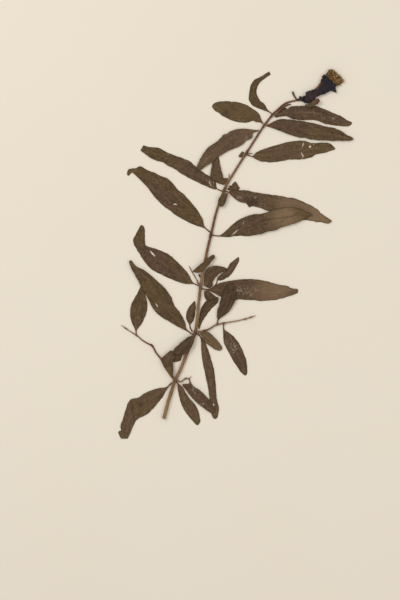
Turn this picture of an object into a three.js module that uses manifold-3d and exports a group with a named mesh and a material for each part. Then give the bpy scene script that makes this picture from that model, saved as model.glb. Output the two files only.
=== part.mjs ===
/**
 * Cut pomegranate branch, pressed and dried.
 *
 * A slender flowering shoot that was laid out on a flat surface, pressed and dried. It has one
 * main stem with eight leaf nodes, a few side twigs that end in thorns, narrow leaves in pairs
 * and clusters at the nodes, and one flower with its crumpled petals beyond the calyx mouth.
 *
 * Units are millimetres. The branch lies on the plane z = 0 and is seen from above (+Z). Places
 * are given as [right, up] or [right, up, height] from the cut end of the stem, and the finished
 * group is moved so that the middle of its underside is the origin.
 */
import * as THREE from 'three';
import * as BufferGeometryUtils from 'three/addons/utils/BufferGeometryUtils.js';
import Module from 'manifold-3d';

const wasm = await Module();
wasm.setup();

// ---------------------------------------------------------------------------------------------
// Driving dimensions
// ---------------------------------------------------------------------------------------------

const STEM_FOOT_RADIUS = 1.38; // at the cut end
const STEM_TOP_RADIUS = 0.66; // below the flower
const STEM_STEPS = 90;
const STEM_SIDES = 12;
const STEM_TAPER = 0.8; // below 1 the stem thins faster near its foot
const NODE_SWELLING = 0.24; // how far the stem swells at a leaf node
const NODE_REACH = 2.4; // length of stem over which the swelling dies away

const TWIG_SIDES = 8;
const TWIG_STEP = 2.2; // length of one step along a twig

const BLADE_SLENDERNESS = 95; // a blade is its length divided by this thick
const BLADE_MIN_THICKNESS = 0.5;
const BLADE_MARGIN_SHARE = 0.62; // thickness at the margin, as a share of the middle
const BLADE_ACROSS = [-1, -0.5, 0, 0.5, 1]; // places across a blade, from margin to margin
const BLADE_STEP = 3.4; // length of one step along a blade
const BLADE_MIN_STEPS = 6;
const BLADE_MAX_STEPS = 26;
const STALK_WIDTH = 0.9;
const HOLE_SIDES = 10; // round a worn hole in a blade
const HOLE_CUT = 20; // length of the cutter, well beyond the height of any blade

const CALYX_THICKNESS = 3.4; // the flower is pressed flat
const CALYX_FLATNESS = 0.7; // a narrow part of the calyx is this share of its width thick
const CALYX_SIDES = 24;
const CALYX_LOBE_WIDTH = 4.2;
const CALYX_LOBE_THICKNESS = 1.3;
const CALYX_LOBE_SINK = 1.25; // a lobe's whole length, as a share of what stands clear
const CALYX_LOBE_SIDES = 8;

const PETAL_SIZE = [13.2, 8.2, 3.0]; // along the mouth, out of it, and thick
const PETAL_FLAT = 0.36; // where the flat side lies, as a share of the size out of the mouth
const PETAL_DETAIL = 7;
const PETAL_RUFFLES = [[0.1, 5, 1, 0], [0.07, 11, 0, 9]]; // depth, count, start, change with height

// ---------------------------------------------------------------------------------------------
// Materials
// ---------------------------------------------------------------------------------------------

const bark = { color: '#80573a', roughness: 0.75, metalness: 0 };
const dryLeaf = { color: '#58483a', roughness: 0.7, metalness: 0 };
const calyxSkin = { color: '#2a2528', roughness: 0.55, metalness: 0 };
const driedPetal = { color: '#6b4826', roughness: 0.85, metalness: 0 };
const budSkin = { color: '#665030', roughness: 0.7, metalness: 0 };

// ---------------------------------------------------------------------------------------------
// The stem and the twigs
// ---------------------------------------------------------------------------------------------

// The middle of the main stem, from the cut end to the foot of the flower stalk.
const stemCourse = [
  [-0.5, 0], [2.9, 13.1], [5.7, 21.9], [8.2, 29.6], [12, 37.1], [16.8, 48.9], [23.5, 65.8],
  [26.1, 87.4], [27.8, 102], [31.3, 122], [35.7, 141.3], [40.4, 160.5], [46, 175.9],
  [52.4, 187.5], [63.1, 204.4], [77.1, 226], [83.2, 233.7], [88.2, 238.7], [93.6, 242.8],
  [102, 245],
];

// The leaf nodes, where the stem swells.
const leafNodes = [
  [8.2, 29.6], [23.5, 65.8], [27.8, 102], [35.7, 141.3], [46, 175.9], [63.1, 204.4], [77.1, 226],
  [83.2, 233.7],
];

// Each twig tapers from its foot to its thorn or tip. lift is the height of its underside.
const twigs = [
  {
    name: 'twig_left', radii: [0.85, 0.36], lift: 0,
    course: [
      [6.6, 31], [0.4, 39.7], [-2.7, 45.8], [-6.5, 50.8], [-9.8, 56.4],
      [-12.4, 57.5], [-16.6, 60], [-21.2, 63.8], [-26.6, 67.2], [-33.5, 72],
    ],
  },
  {
    name: 'twig_right', radii: [0.68, 0.3], lift: 0.5,
    course: [
      [25.6, 66.8], [30.4, 67.5], [34.3, 68.9], [40.4, 72.4], [45, 73.3],
      [55.1, 75.1], [62, 76.6], [70.5, 79.3],
    ],
  },
  {
    name: 'twig_low', radii: [0.6, 0.25], lift: 0.5,
    course: [[10, 29.1], [12.7, 28.4], [15, 30.1], [16.9, 31], [19.1, 31.1], [21, 32.5]],
  },
  {
    name: 'thorn_middle', radii: [0.42, 0.24], lift: 0.4,
    course: [[26, 103.7], [23.9, 108.6], [21.3, 112.7], [19.9, 115.6], [18.9, 118]],
  },
  {
    name: 'thorn_upper', radii: [0.34, 0.2], lift: 0.4,
    course: [[49.7, 186.1], [49.7, 187.5], [50.1, 188.9]],
  },
  {
    name: 'stub_upper', radii: [0.36, 0.28], lift: 0.2,
    course: [[64.7, 203.8], [67.8, 204.3]],
  },
  {
    name: 'stub_top', radii: [0.62, 0.76], lift: 0,
    course: [[101.3, 246], [99.6, 248.9], [98.6, 251.8]],
  },
  {
    name: 'spur_top', radii: [0.68, 0.52], lift: 1.5,
    course: [[87.2, 236], [89.9, 238.3], [92.7, 240.2], [95.5, 241.5], [97.4, 241.5]],
  },
];

// ---------------------------------------------------------------------------------------------
// The leaves
// ---------------------------------------------------------------------------------------------

// Each leaf is told by its two margins, from the end of its stalk to the two corners of its tip:
// left and right are seen from above, looking along the leaf. stalk is the middle of its narrow
// stalk, and levels are the heights of its underside at even steps of its length.
// A leaf that lies across another, or across the stem, has the height to pass over it.
const leaves = [
  // at the lowest node
  { name: 'leaf_a_long', levels: [0.6, 0, 0, 0, 0],
    stalk: [[5.2, 27.3], [3.6, 25.6]],
    left: [[2.2, 23], [-1.3, 16.9], [-11.6, 4.8], [-15.4, 2.2], [-19.4, 0.5], [-21.6, -1.2],
      [-23, -3.5], [-28.3, -15.5]],
    right: [[2.1, 24.7], [-0.8, 23.7], [-3.9, 23.5], [-15, 19.6], [-19.8, 16.3], [-26.4, 14.2],
      [-32.3, -1.2], [-33.9, -7], [-33.3, -8.9], [-35.5, -10.3], [-33.5, -15.5]] },
  { name: 'leaf_a_left', levels: [2, 2, 2],
    stalk: [[6.2, 31]],
    left: [[4.7, 33.3], [2.1, 36.3], [-2.5, 45], [-2.3, 46.3], [5.2, 52.9]],
    right: [[6.4, 32.4], [6.8, 35.8], [6.7, 44.3], [7.5, 47.4], [7.2, 50.1], [6.2, 52]] },
  { name: 'leaf_a_fold', levels: [0, 0],
    left: [[4.2, 49.7], [7.3, 50.3], [12.7, 50.1]],
    right: [[4.2, 44.6], [6.4, 43.4], [11, 44], [12.4, 45], [13.6, 47.9]] },
  { name: 'leaf_a_down', levels: [0.7, 0, 0, 0],
    stalk: [[9.6, 27.7], [10.4, 27.1]],
    left: [[11.7, 26.3], [13.7, 24.6], [17.7, 17.7], [24.9, 8.5], [27.4, -0.4], [27.3, -3.1],
      [25.9, -5.2]],
    right: [[10.1, 24.6], [11, 18.1], [13.1, 10.8], [16.8, 3.9], [24.5, -5]] },
  { name: 'leaf_a_side', levels: [0.5, 1, 1.05, 1.05, 1.05],
    stalk: [[19.1, 30.2], [19.4, 28.9]],
    left: [[20.4, 27.6], [21.5, 25.9], [23.5, 24.1], [26.6, 22.3], [32, 17.3], [35, 13.9],
      [37.7, 9.6], [39.3, 5.8]],
    right: [[19.2, 27], [13.9, 26.4], [17.3, 20.9], [22.1, 15], [29.6, 8.5], [36, 4.1]] },

  // at the second node
  { name: 'leaf_b_low', levels: [2.9, 2.9, 2.85],
    stalk: [[22.7, 64.1]],
    left: [[23.4, 62.8], [22.6, 58.9], [19.6, 52.9], [15.8, 49.7], [13.7, 48.7], [10.8, 49]],
    right: [[20.8, 63.8], [17.9, 62.6], [6.2, 51.8], [6.9, 50.6]] },
  { name: 'leaf_b_slim', levels: [0.1, 0, 0, 0],
    stalk: [[25, 65.1], [27.2, 63.4]],
    left: [[29.3, 61.8], [33.1, 54.3], [37.5, 39.7], [38.3, 35.8], [39.4, 26.6], [40.3, 14.6],
      [41.9, 7.3], [41, 1.8], [39.8, -0.3]],
    right: [[27.8, 61.2], [28.9, 46.6], [34.3, 18.9], [34.9, 10.4], [36.8, 1.5], [38.1, -0.4]],
    holes: [[37.6, 10, 3.6, 1.5, 84]] },
  { name: 'leaf_b_round', levels: [1.3, 1.15, 0.5],
    stalk: [[25.6, 65.1], [27.5, 65.3]],
    left: [[29, 66.1], [33.5, 66.6], [44.1, 55.6], [44.5, 54], [43.6, 52.7]],
    right: [[28.3, 63.8], [31.3, 58.6], [33.1, 57.1], [35, 56.1], [38.9, 53.3], [42.4, 52.1]] },
  { name: 'leaf_b_left', levels: [0.8, 0.2, 0.3, 0.8, 1, 1],
    stalk: [[21.3, 65.1], [19.3, 66.4], [17.8, 67.5]],
    left: [[16.1, 67.8], [9.2, 71.4], [-5.4, 80.5], [-7.9, 83.3], [-14.6, 95.9], [-17.7, 99.9],
      [-19.2, 104], [-25.2, 115.1], [-27.2, 120.5], [-26.9, 121.8]],
    right: [[17, 69.1], [15.5, 75.1], [11.6, 81.9], [8.1, 86.4], [4.6, 94.3], [2.3, 97.9],
      [-0.8, 101.4], [-11.9, 111.4], [-15.4, 114.1], [-22.1, 117.6], [-25.6, 122]],
    holes: [[-6, 87.2, 4.2, 1.1, 119]] },
  { name: 'leaf_b_up', levels: [0.5, 0, 0, 0],
    stalk: [[21.1, 67.4], [19.9, 69.8]],
    left: [[19, 72.1], [16.7, 77.2], [17.2, 82.8], [18.1, 84.6], [22.9, 90.6]],
    right: [[20.1, 72.3], [22.3, 75.5], [23.7, 82], [24.1, 85.1], [23.6, 90.3]] },
  { name: 'leaf_b_right', levels: [0.4, 0, 0, 0],
    stalk: [[26.6, 69.1]],
    left: [[26.2, 72.3], [27.1, 80.5], [29, 86.6], [32.6, 90.9], [34.6, 92.3], [37, 93.1],
      [40.1, 93.3]],
    right: [[27.8, 71.5], [29.1, 74.6], [31.2, 77.9], [36.2, 84.6], [40.6, 88.9], [41.9, 92.2]] },

  // on the side twigs
  { name: 'leaf_left_twig', levels: [0.3, 0, 0, 0],
    stalk: [[-21.7, 65.4], [-21.9, 67.1]],
    left: [[-22.8, 68.9], [-25.8, 75.5], [-26.4, 82.8], [-25.8, 86.6], [-24.9, 89.2],
      [-19.8, 98.6], [-18.4, 102.4]],
    right: [[-20.9, 68.7], [-17.3, 73.5], [-13.2, 85.1], [-14.4, 94.3], [-15.3, 98.2],
      [-17.2, 102.3]] },
  { name: 'leaf_right_twig_down', levels: [0.3, 0, 0, 0],
    stalk: [[45.6, 72.4], [45.4, 69.5]],
    left: [[46.3, 68.4], [51.6, 64.7], [58, 56.7], [62.2, 47.1], [63, 44.3], [63.7, 38.1],
      [63.6, 35], [63, 33.3]],
    right: [[45.1, 67.8], [45.4, 61.2], [46, 57.9], [57.8, 37], [61.5, 33.1]] },
  { name: 'leaf_right_twig_up', levels: [0.6, 1.1, 1.9, 1.9],
    stalk: [[40.5, 73.7], [40.9, 74.8]],
    left: [[40.7, 76.3], [40.3, 78.3], [41, 84.7], [42.2, 87.1], [42.7, 90.1], [46.2, 98.9],
      [47.7, 101.7], [49.7, 103.6]],
    right: [[41.9, 76.2], [46.6, 79.8], [50.8, 84], [52.6, 86.6], [54.7, 91.6], [55, 98.9],
      [54.4, 101.6], [52.9, 103.4]] },

  // at the middle node
  { name: 'leaf_c_under', levels: [1, 1, 0.9],
    left: [[33, 98.2], [35, 97.3], [39.7, 93.9], [42, 93.1]],
    right: [[30.6, 98.3], [30.6, 94.9], [31.3, 92.8], [32.6, 90.9], [40.9, 92.5]] },
  { name: 'leaf_c_left', levels: [0.6, 0, 0, 0, 0],
    stalk: [[26.1, 102.4], [24.3, 103.2], [22.4, 104]],
    left: [[20.9, 103.6], [16.6, 103.7], [11.9, 104.7], [0, 109.7], [-10.8, 115.7],
      [-18.9, 126.3], [-24.1, 136.7], [-22.3, 141.3], [-18.4, 148.7]],
    right: [[21.3, 105.6], [18.5, 111], [15, 115.3], [10, 120.5], [4.2, 125.7], [-3.5, 129.5],
      [-14.4, 133.4], [-15, 135.1], [-15.1, 142.8], [-15.6, 146.7], [-16.5, 148.4],
      [-17.3, 148.9]],
    holes: [[-9.2, 126.9, 5.7, 1.1, 132]] },
  { name: 'leaf_c_right', levels: [0.9, 0.6, 0, 0, 0],
    stalk: [[29, 99.9], [31.3, 99.4]],
    left: [[34.3, 99.6], [42.7, 104.3], [54.3, 106.5], [65.8, 107.4], [77.4, 105.9],
      [88.9, 102.9], [94.9, 102], [97, 100.7], [99.7, 99.9], [102.9, 99.7]],
    right: [[33.8, 98.2], [36.2, 97.6], [42.4, 94.3], [51.2, 91.2], [58.1, 91.8], [62, 91.2],
      [69.7, 91.2], [72.8, 90.6], [76.6, 90.6], [85.1, 91.4], [95.1, 93.9], [103, 96.9]] },
  { name: 'leaf_c_broad', levels: [1, 0.9, 0.85],
    left: [[30.3, 102.3], [30.6, 109.7], [31.1, 112.5], [32, 114.3], [36.6, 117.2], [39.7, 117.6],
      [46, 116.5], [48.4, 115.3]],
    right: [[31.7, 101.6], [33.1, 100.7], [34.5, 100.5], [36.2, 101.3], [37.3, 102.6],
      [37, 104.6], [37.7, 106.3], [41.6, 110.9], [48.9, 114.5]] },
  { name: 'leaf_c_pointed', levels: [0, 0, 0],
    stalk: [[29, 100], [31.5, 99.5], [35.4, 99.8], [38.5, 101.9], [40.2, 104.6]],
    left: [[40.3, 107], [41, 108.6], [42.6, 110.3], [47, 113.7], [48.7, 115.9], [50, 118.7],
      [51.6, 120.4], [56.9, 124.4]],
    right: [[41, 106.1], [43.5, 106.3], [46, 107.2], [47.3, 108.3], [48.9, 108.7], [50.8, 110.5],
      [52.6, 112.8], [57.1, 120.9], [57.6, 123.9]] },
  { name: 'leaf_c_cross', levels: [1.3, 2.5, 2.6, 2.5, 1.6],
    left: [[21.6, 113.5], [32.7, 122.9], [37.7, 126.6]],
    right: [[22, 112.7], [25.6, 112.3], [28.5, 112.7], [39.4, 124.4]] },
  { name: 'leaf_c_sliver', levels: [0.3, 0.3],
    left: [[27.3, 107.6], [26.7, 109.3], [25.6, 110.3]],
    right: [[27.6, 109], [27.5, 110.6], [26.8, 111.4]] },

  // at the fourth node
  { name: 'leaf_d_left', levels: [0.5, 0, 0, 0, 0],
    stalk: [[34.5, 143.9], [33, 145.2], [31.6, 146.5]],
    left: [[29.6, 146.9], [20.4, 150.2], [8.1, 157], [4.2, 160.2], [0, 162.9], [-8.9, 172.2],
      [-13.5, 178.3], [-23.9, 188.6], [-25.2, 189.3], [-27.6, 186.6]],
    right: [[30.7, 148.2], [29.3, 153.6], [27.7, 156.7], [23.5, 162.9], [15.4, 172.1],
      [13.9, 173.6], [11.6, 175], [3.9, 183.6], [1.5, 185.3], [-3.5, 186.9], [-8.2, 189.6],
      [-11.3, 190.4], [-18.5, 194.2], [-20, 193.9], [-21.9, 192.7], [-24.3, 192.6],
      [-27.8, 191.5], [-29, 187.5]],
    holes: [[8.3, 165, 3.4, 1, 2]] },
  { name: 'leaf_d_right', levels: [0.5, 0, 1.2, 1.2, 1.2],
    stalk: [[37.2, 141.1], [40, 140.7]],
    left: [[42.9, 141.2], [55.1, 151.5], [60.8, 154.7], [70.1, 157.4], [73.5, 157.3],
      [90.5, 162.2], [95.1, 162.7], [99.7, 162.4], [104.3, 161.3], [113.2, 157.6]],
    right: [[42.4, 140.1], [48.9, 139.8], [58.1, 140.8], [62.8, 140.4], [74.3, 142.1],
      [79.7, 143.8], [85.9, 145.1], [88.9, 146.7], [102, 150.8], [113.6, 156.4]] },

  // at the fifth node
  { name: 'leaf_e_right', levels: [1.2, 0.2, 0, 0, 0],
    stalk: [[47.3, 174.8], [49.2, 174.3]],
    left: [[50.6, 175.3], [64.7, 175.5], [66.2, 174.9], [80.5, 172.5], [92, 170.9], [95.1, 170],
      [98.9, 169.8], [116.5, 161.9], [120.9, 157.8], [129.2, 152.1]],
    right: [[50.3, 172.7], [57.4, 167], [62.8, 165.5], [65.3, 162.6], [66.8, 163.2],
      [69.7, 163.2], [82.8, 158.6], [88.9, 155.9], [96.6, 153.9], [114.3, 152.1], [116.9, 151.2],
      [119.7, 151.3], [125.9, 150.1], [127.8, 150.8]] },
  { name: 'leaf_e_down', levels: [2.35, 2.35],
    left: [[49.2, 173.3], [46.7, 165.2], [45.7, 163.8], [44.1, 162.8]],
    right: [[45.3, 173.5], [41.3, 168.2], [41.3, 164.5], [42.6, 162.9]] },
  { name: 'leaf_e_folded', levels: [0.3, 0.2],
    left: [[48.4, 177.2], [49.4, 177.5], [49.8, 178.8], [50.7, 179.6], [51.8, 179], [52.1, 180.4],
      [54.7, 182.6]],
    right: [[48.7, 175.9], [51.2, 175.5], [56.2, 175.8], [58.1, 177.2]] },
  { name: 'leaf_e_long', levels: [0.2, 0.1, 0, 0, 0],
    stalk: [[44.1, 175.2], [42, 176], [40.3, 176.8]],
    left: [[38.6, 176.4], [19.6, 184.8], [13.5, 188.3], [7.7, 192.3], [1.9, 195], [-0.8, 197],
      [-6.5, 198.7], [-11.9, 201.4], [-18.5, 206.4]],
    right: [[40.1, 178.3], [39, 183], [37.3, 185], [31.2, 188.6], [23.9, 193.8], [20, 197.7],
      [5.8, 203.3], [0.8, 205.5], [-3.6, 208.1], [-11.9, 209.1], [-16.3, 210.2]] },
  { name: 'leaf_e_up', levels: [1.2, 1.2, 1.2, 0.4, 0],
    left: [[46.3, 179.7], [41.6, 181], [35.8, 185.5], [36.4, 194.8], [38.1, 202.5]],
    right: [[49.4, 185.2], [45.2, 185.1], [45, 187.1], [43.4, 191.7], [41.7, 201], [40.4, 202.7]] },

  // at the sixth node
  { name: 'leaf_f_right', levels: [0.7, 0, 0, 0],
    stalk: [[63.8, 202.8], [65.5, 202.3]],
    left: [[67.5, 202.1], [71.2, 205.1], [73.5, 206.3], [85.1, 210.1], [98.2, 213.4],
      [107.4, 213.9], [112.8, 212.1], [119.7, 212.4], [125.9, 212.1], [127.8, 211.6],
      [131.5, 208.1]],
    right: [[67.2, 201.4], [73.2, 198.4], [83.5, 197.4], [96.6, 199.4], [104.3, 199.4],
      [110.5, 200.4], [114, 201.5], [115.9, 203], [124.4, 204.9], [131.5, 207.3]],
    holes: [[112, 209.3, 2, 1.9, 0]] },
  { name: 'leaf_f_small', levels: [0.3, 0.2],
    left: [[60.1, 202], [59.1, 201.1], [57.8, 201]],
    right: [[61.3, 205.1], [60, 205.6], [56.7, 201.8]] },

  // at the two uppermost nodes
  { name: 'leaf_g_right', levels: [0.6, 0.9, 1, 1, 0.9],
    stalk: [[78.5, 225.3]],
    left: [[80.6, 226.8], [88.2, 230.2], [91.2, 230.4], [104.3, 229.1], [116.7, 226.8],
      [123.6, 224.7], [130.5, 223.5], [136.7, 220.8], [139.4, 218.8], [145.1, 216.1]],
    right: [[80.6, 224.4], [101.3, 216.9], [109, 215.8], [112, 214.8], [140.5, 213.7],
      [143.6, 214], [145.4, 214.9]] },
  { name: 'leaf_g_left', levels: [0.6, 0, 0, 0],
    stalk: [[75.8, 226.8]],
    left: [[74.3, 227.7], [70.1, 228.5], [68.8, 229.3], [65.1, 228.2], [62, 227.8], [55.1, 228.5],
      [49.7, 230.5], [44.3, 233.2], [42.4, 234.8], [39.7, 236.4], [36.7, 239.5]],
    right: [[74.6, 230], [72.8, 234.6], [71.6, 235.8], [64.3, 240.8], [59.1, 242.8], [53.5, 244],
      [52, 243.7], [49.7, 244.3], [42.4, 243.9], [39.7, 243.4], [38.1, 242.6], [36.5, 240.6]] },
  { name: 'leaf_g_low', levels: [0.8, 0.7, 0.7, 1, 1.1],
    stalk: [[72.5, 221.9]],
    left: [[70.9, 220.8], [68.1, 219.5], [67.3, 216], [62.8, 213.7], [59.7, 210.6], [48.1, 205.4],
      [41.2, 201], [34.5, 195.8], [26.8, 190.7]],
    right: [[71.2, 222], [62.8, 223], [55.8, 222.7], [50.4, 220.8], [47.7, 219.1], [45.8, 218.5],
      [40.8, 213.4], [33.7, 208.6], [28, 200.7], [24.4, 193]],
    holes: [[31.7, 200.4, 1.6, 1.3, 20]] },
  { name: 'leaf_h_right', levels: [0.3, 0.1, 0, 0, 0],
    left: [[85.2, 233.8], [89.7, 237.9], [92, 239.1], [93.6, 239.2], [94.3, 238.3], [97.4, 240.1],
      [108.2, 240.7], [115.9, 240.6], [124.4, 237.7], [128.2, 235.8], [135.5, 233],
      [140.9, 229.5], [144.4, 228.2]],
    right: [[84.5, 232.4], [85.5, 231.8], [93.2, 232.8], [98.2, 230.8], [102, 230.1],
      [106.6, 229.7], [113.6, 229.8], [118.2, 229.1], [122.8, 227.2], [131.3, 225.6],
      [142.1, 225.2], [144.4, 226.8]] },
  { name: 'leaf_h_curled', levels: [0.6, 0, 0, 0, 0],
    stalk: [[82.5, 234.7], [80.9, 235.9]],
    left: [[79.2, 236.2], [68.9, 240.3], [66.8, 241.9], [65.8, 243.7], [65.1, 245.1],
      [64.8, 247.2], [66.9, 257.6], [68, 259.3], [69.8, 261.2], [72.4, 262.2], [80.5, 267.2]],
    right: [[79.7, 237.4], [77, 241.9], [73.2, 245.2], [71.1, 249.6], [70.9, 252.2],
      [71.2, 254.5], [72.8, 257.9], [77.8, 262.2], [81.7, 264.8]] },
];

// ---------------------------------------------------------------------------------------------
// The flower
// ---------------------------------------------------------------------------------------------

const flowerStalk = {
  name: 'flower_stalk', radii: [0.8, 1.35], lift: 0,
  course: [[102.4, 245.1], [104.8, 245.6], [107, 246.3]],
};

// The calyx from its round foot to its flared mouth: [right, up] and the width there.
const calyxCourse = [
  [108, 246.9, 3.5], [108.6, 246.8, 6.6], [110.3, 246.9, 9.1], [112.5, 248.3, 8.4],
  [115.2, 250, 6.8], [118, 251.3, 6.5], [120, 252.6, 8], [122.7, 254.7, 9.8],
  [124.3, 256.2, 11.3], [126, 257.9, 12.4], [127.4, 259.4, 13],
];

// The lobes at the two ends of the flattened mouth: [right, up] of the foot, then of the tip.
const calyxLobes = [
  [[122.9, 262], [123.1, 264.7]],
  [[129.2, 254.3], [132.1, 250.8]],
];

const petalPlace = [129.7, 262.2, 1.6]; // the middle of the crumpled petals

const flowerBud = {
  name: 'flower_bud', radii: [0.9, 1.95], lift: 1,
  course: [[108.1, 240.9], [111.3, 240.4], [114.5, 241.6], [117.2, 243.3], [119, 244.6]],
};

// ---------------------------------------------------------------------------------------------
// Making shapes
// ---------------------------------------------------------------------------------------------

const UP = new THREE.Vector3(0, 0, 1);

/** A smooth curve through points given as [right, up] or [right, up, height]. */
function courseCurve(points) {
  const stations = points.map(([x, y, z = 0]) => new THREE.Vector3(x, y, z));
  return new THREE.CatmullRomCurve3(stations, false, 'centripetal');
}

/** The level direction to the left of a curve's travel. */
function leftOf(tangent) {
  return new THREE.Vector3().crossVectors(UP, tangent).normalize();
}

/** A closed geometry from rings of equally many points, with a fan over each end. */
function loftGeometry(rings) {
  const sides = rings[0].length;
  const positions = rings.flat().flatMap((point) => point.toArray());
  const indices = [];
  for (let i = 0; i + 1 < rings.length; i += 1) {
    for (let j = 0; j < sides; j += 1) {
      const a = i * sides + j;
      const b = i * sides + ((j + 1) % sides);
      indices.push(a, b + sides, b, a, a + sides, b + sides);
    }
  }
  closeEnd(positions, indices, rings[0], 0, false);
  closeEnd(positions, indices, rings.at(-1), (rings.length - 1) * sides, true);
  const geometry = new THREE.BufferGeometry();
  geometry.setAttribute('position', new THREE.Float32BufferAttribute(positions, 3));
  geometry.setIndex(indices);
  return geometry;
}

/** Close one end ring with triangles round its middle. */
function closeEnd(positions, indices, ring, first, isLast) {
  const middle = new THREE.Vector3();
  ring.forEach((point) => middle.addScaledVector(point, 1 / ring.length));
  const centre = positions.length / 3;
  positions.push(...middle.toArray());
  for (let j = 0; j < ring.length; j += 1) {
    const a = first + j;
    const b = first + ((j + 1) % ring.length);
    indices.push(...(isLast ? [b, a, centre] : [a, b, centre]));
  }
}

/** A tapering round limb that rests on the height lift, its radius told by radiusAt(share). */
function limbGeometry(course, radiusAt, steps, sides, lift = 0) {
  const curve = courseCurve(course);
  const rings = [];
  for (let i = 0; i <= steps; i += 1) {
    const share = i / steps;
    const radius = radiusAt(share, curve);
    const centre = curve.getPointAt(share).setZ(lift + radius);
    const left = leftOf(curve.getTangentAt(share));
    const ring = [];
    for (let j = 0; j < sides; j += 1) {
      const turn = (j / sides) * Math.PI * 2;
      const point = centre.clone().addScaledVector(left, -Math.cos(turn) * radius);
      ring.push(point.addScaledVector(UP, Math.sin(turn) * radius));
    }
    rings.push(ring);
  }
  return loftGeometry(rings);
}

/** The two margins of a leaf as curves, from the foot of its stalk to its tip. */
function leafMargins({ stalk = [], left, right }) {
  const bladeFoot = [(left[0][0] + right[0][0]) / 2, (left[0][1] + right[0][1]) / 2];
  const beside = (side) => stalk.map(([x, y], i) => {
    const [nextX, nextY] = stalk[i + 1] ?? bladeFoot;
    const [runX, runY] = [nextX - x, nextY - y];
    const reach = (side * STALK_WIDTH) / 2 / Math.hypot(runX, runY);
    return [x - runY * reach, y + runX * reach];
  });
  return [courseCurve([...beside(1), ...left]), courseCurve([...beside(-1), ...right])];
}

/** The height of a leaf's underside at a share of its length, eased from level to level. */
function levelAt(levels, share) {
  const place = share * (levels.length - 1);
  const before = Math.min(Math.floor(place), levels.length - 2);
  const rise = THREE.MathUtils.smoothstep(place - before, 0, 1);
  return THREE.MathUtils.lerp(levels[before], levels[before + 1], rise);
}

/** A thin closed blade between its two margins, thickest at the midrib. */
function bladeGeometry(leaf) {
  const [left, right] = leafMargins(leaf);
  const length = Math.max(left.getLength(), right.getLength());
  const thickness = Math.max(BLADE_MIN_THICKNESS, length / BLADE_SLENDERNESS);
  const steps = THREE.MathUtils.clamp(
    Math.round(length / BLADE_STEP), BLADE_MIN_STEPS, BLADE_MAX_STEPS,
  );
  const rings = [];
  for (let i = 0; i <= steps; i += 1) {
    const share = i / steps;
    const level = levelAt(leaf.levels, share);
    const start = left.getPointAt(share);
    const end = right.getPointAt(share);
    const at = (across, height) => start.clone().lerp(end, (1 + across) / 2).setZ(level + height);
    const top = BLADE_ACROSS.toReversed().map((across) => {
      const thinning = 1 - (1 - BLADE_MARGIN_SHARE) * across * across;
      return at(across, thickness * thinning);
    });
    rings.push([...BLADE_ACROSS.map((across) => at(across, 0)), ...top]);
  }
  return loftGeometry(rings);
}

/** A closed mesh as a solid that can be cut. */
function toSolid(geometry) {
  const bare = geometry.clone();
  bare.deleteAttribute('normal');
  bare.deleteAttribute('uv');
  const merged = BufferGeometryUtils.mergeVertices(bare, 1e-4);
  return new wasm.Manifold(new wasm.Mesh({
    numProp: 3,
    vertProperties: new Float32Array(merged.attributes.position.array),
    triVerts: new Uint32Array(merged.index.array),
  }));
}

/** A cut solid as a geometry again. */
function fromSolid(solid) {
  const mesh = solid.getMesh();
  const geometry = new THREE.BufferGeometry();
  geometry.setAttribute('position', new THREE.BufferAttribute(mesh.vertProperties, 3));
  geometry.setIndex(new THREE.BufferAttribute(mesh.triVerts, 1));
  return geometry;
}

/** Cut worn holes, each [right, up, length, width, turn in degrees], through a blade. */
function withHoles(geometry, holes = []) {
  if (holes.length === 0) {
    return geometry;
  }
  let solid = toSolid(geometry);
  for (const [x, y, length, width, turn] of holes) {
    const cutter = new THREE.CylinderGeometry(0.5, 0.5, HOLE_CUT, HOLE_SIDES);
    cutter.rotateX(Math.PI / 2);
    cutter.scale(length, width, 1).rotateZ(THREE.MathUtils.degToRad(turn)).translate(x, y, 0);
    solid = solid.subtract(toSolid(cutter));
  }
  return fromSolid(solid);
}

// ---------------------------------------------------------------------------------------------
// Making sub-parts
// ---------------------------------------------------------------------------------------------

/** A named mesh that stands at an anchor point [right, up], its geometry given in place. */
function placedMesh(name, geometry, finish, [x, y]) {
  geometry.translate(-x, -y, 0);
  geometry.computeVertexNormals();
  const mesh = new THREE.Mesh(geometry, new THREE.MeshStandardMaterial(finish));
  mesh.name = name;
  mesh.position.set(x, y, 0);
  return mesh;
}

function mainStem() {
  const nodePoints = leafNodes.map(([x, y]) => new THREE.Vector3(x, y, 0));
  const radiusAt = (share, curve) => {
    const place = curve.getPointAt(share);
    const plain = THREE.MathUtils.lerp(STEM_FOOT_RADIUS, STEM_TOP_RADIUS, share ** STEM_TAPER);
    const nearest = Math.min(...nodePoints.map((node) => node.distanceTo(place)));
    return plain + NODE_SWELLING * Math.exp(-((nearest / NODE_REACH) ** 2));
  };
  const geometry = limbGeometry(stemCourse, radiusAt, STEM_STEPS, STEM_SIDES);
  return placedMesh('main_stem', geometry, bark, stemCourse[0]);
}

function twig({ name, radii, lift, course }, finish = bark) {
  const steps = Math.max(3, Math.round(courseCurve(course).getLength() / TWIG_STEP));
  const radiusAt = (share) => THREE.MathUtils.lerp(...radii, share);
  const geometry = limbGeometry(course, radiusAt, steps, TWIG_SIDES, lift);
  return placedMesh(name, geometry, finish, course[0]);
}

function leafBlade(leaf) {
  const geometry = withHoles(bladeGeometry(leaf), leaf.holes);
  const [foot] = [...(leaf.stalk ?? []), ...leaf.left];
  return placedMesh(leaf.name, geometry, dryLeaf, foot);
}

/** The direction in which a course runs at one of its points. */
function headingAt(course, i) {
  const [x0, y0] = course[Math.max(0, i - 1)];
  const [x1, y1] = course[Math.min(course.length - 1, i + 1)];
  return new THREE.Vector3(x1 - x0, y1 - y0, 0).normalize();
}

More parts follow.
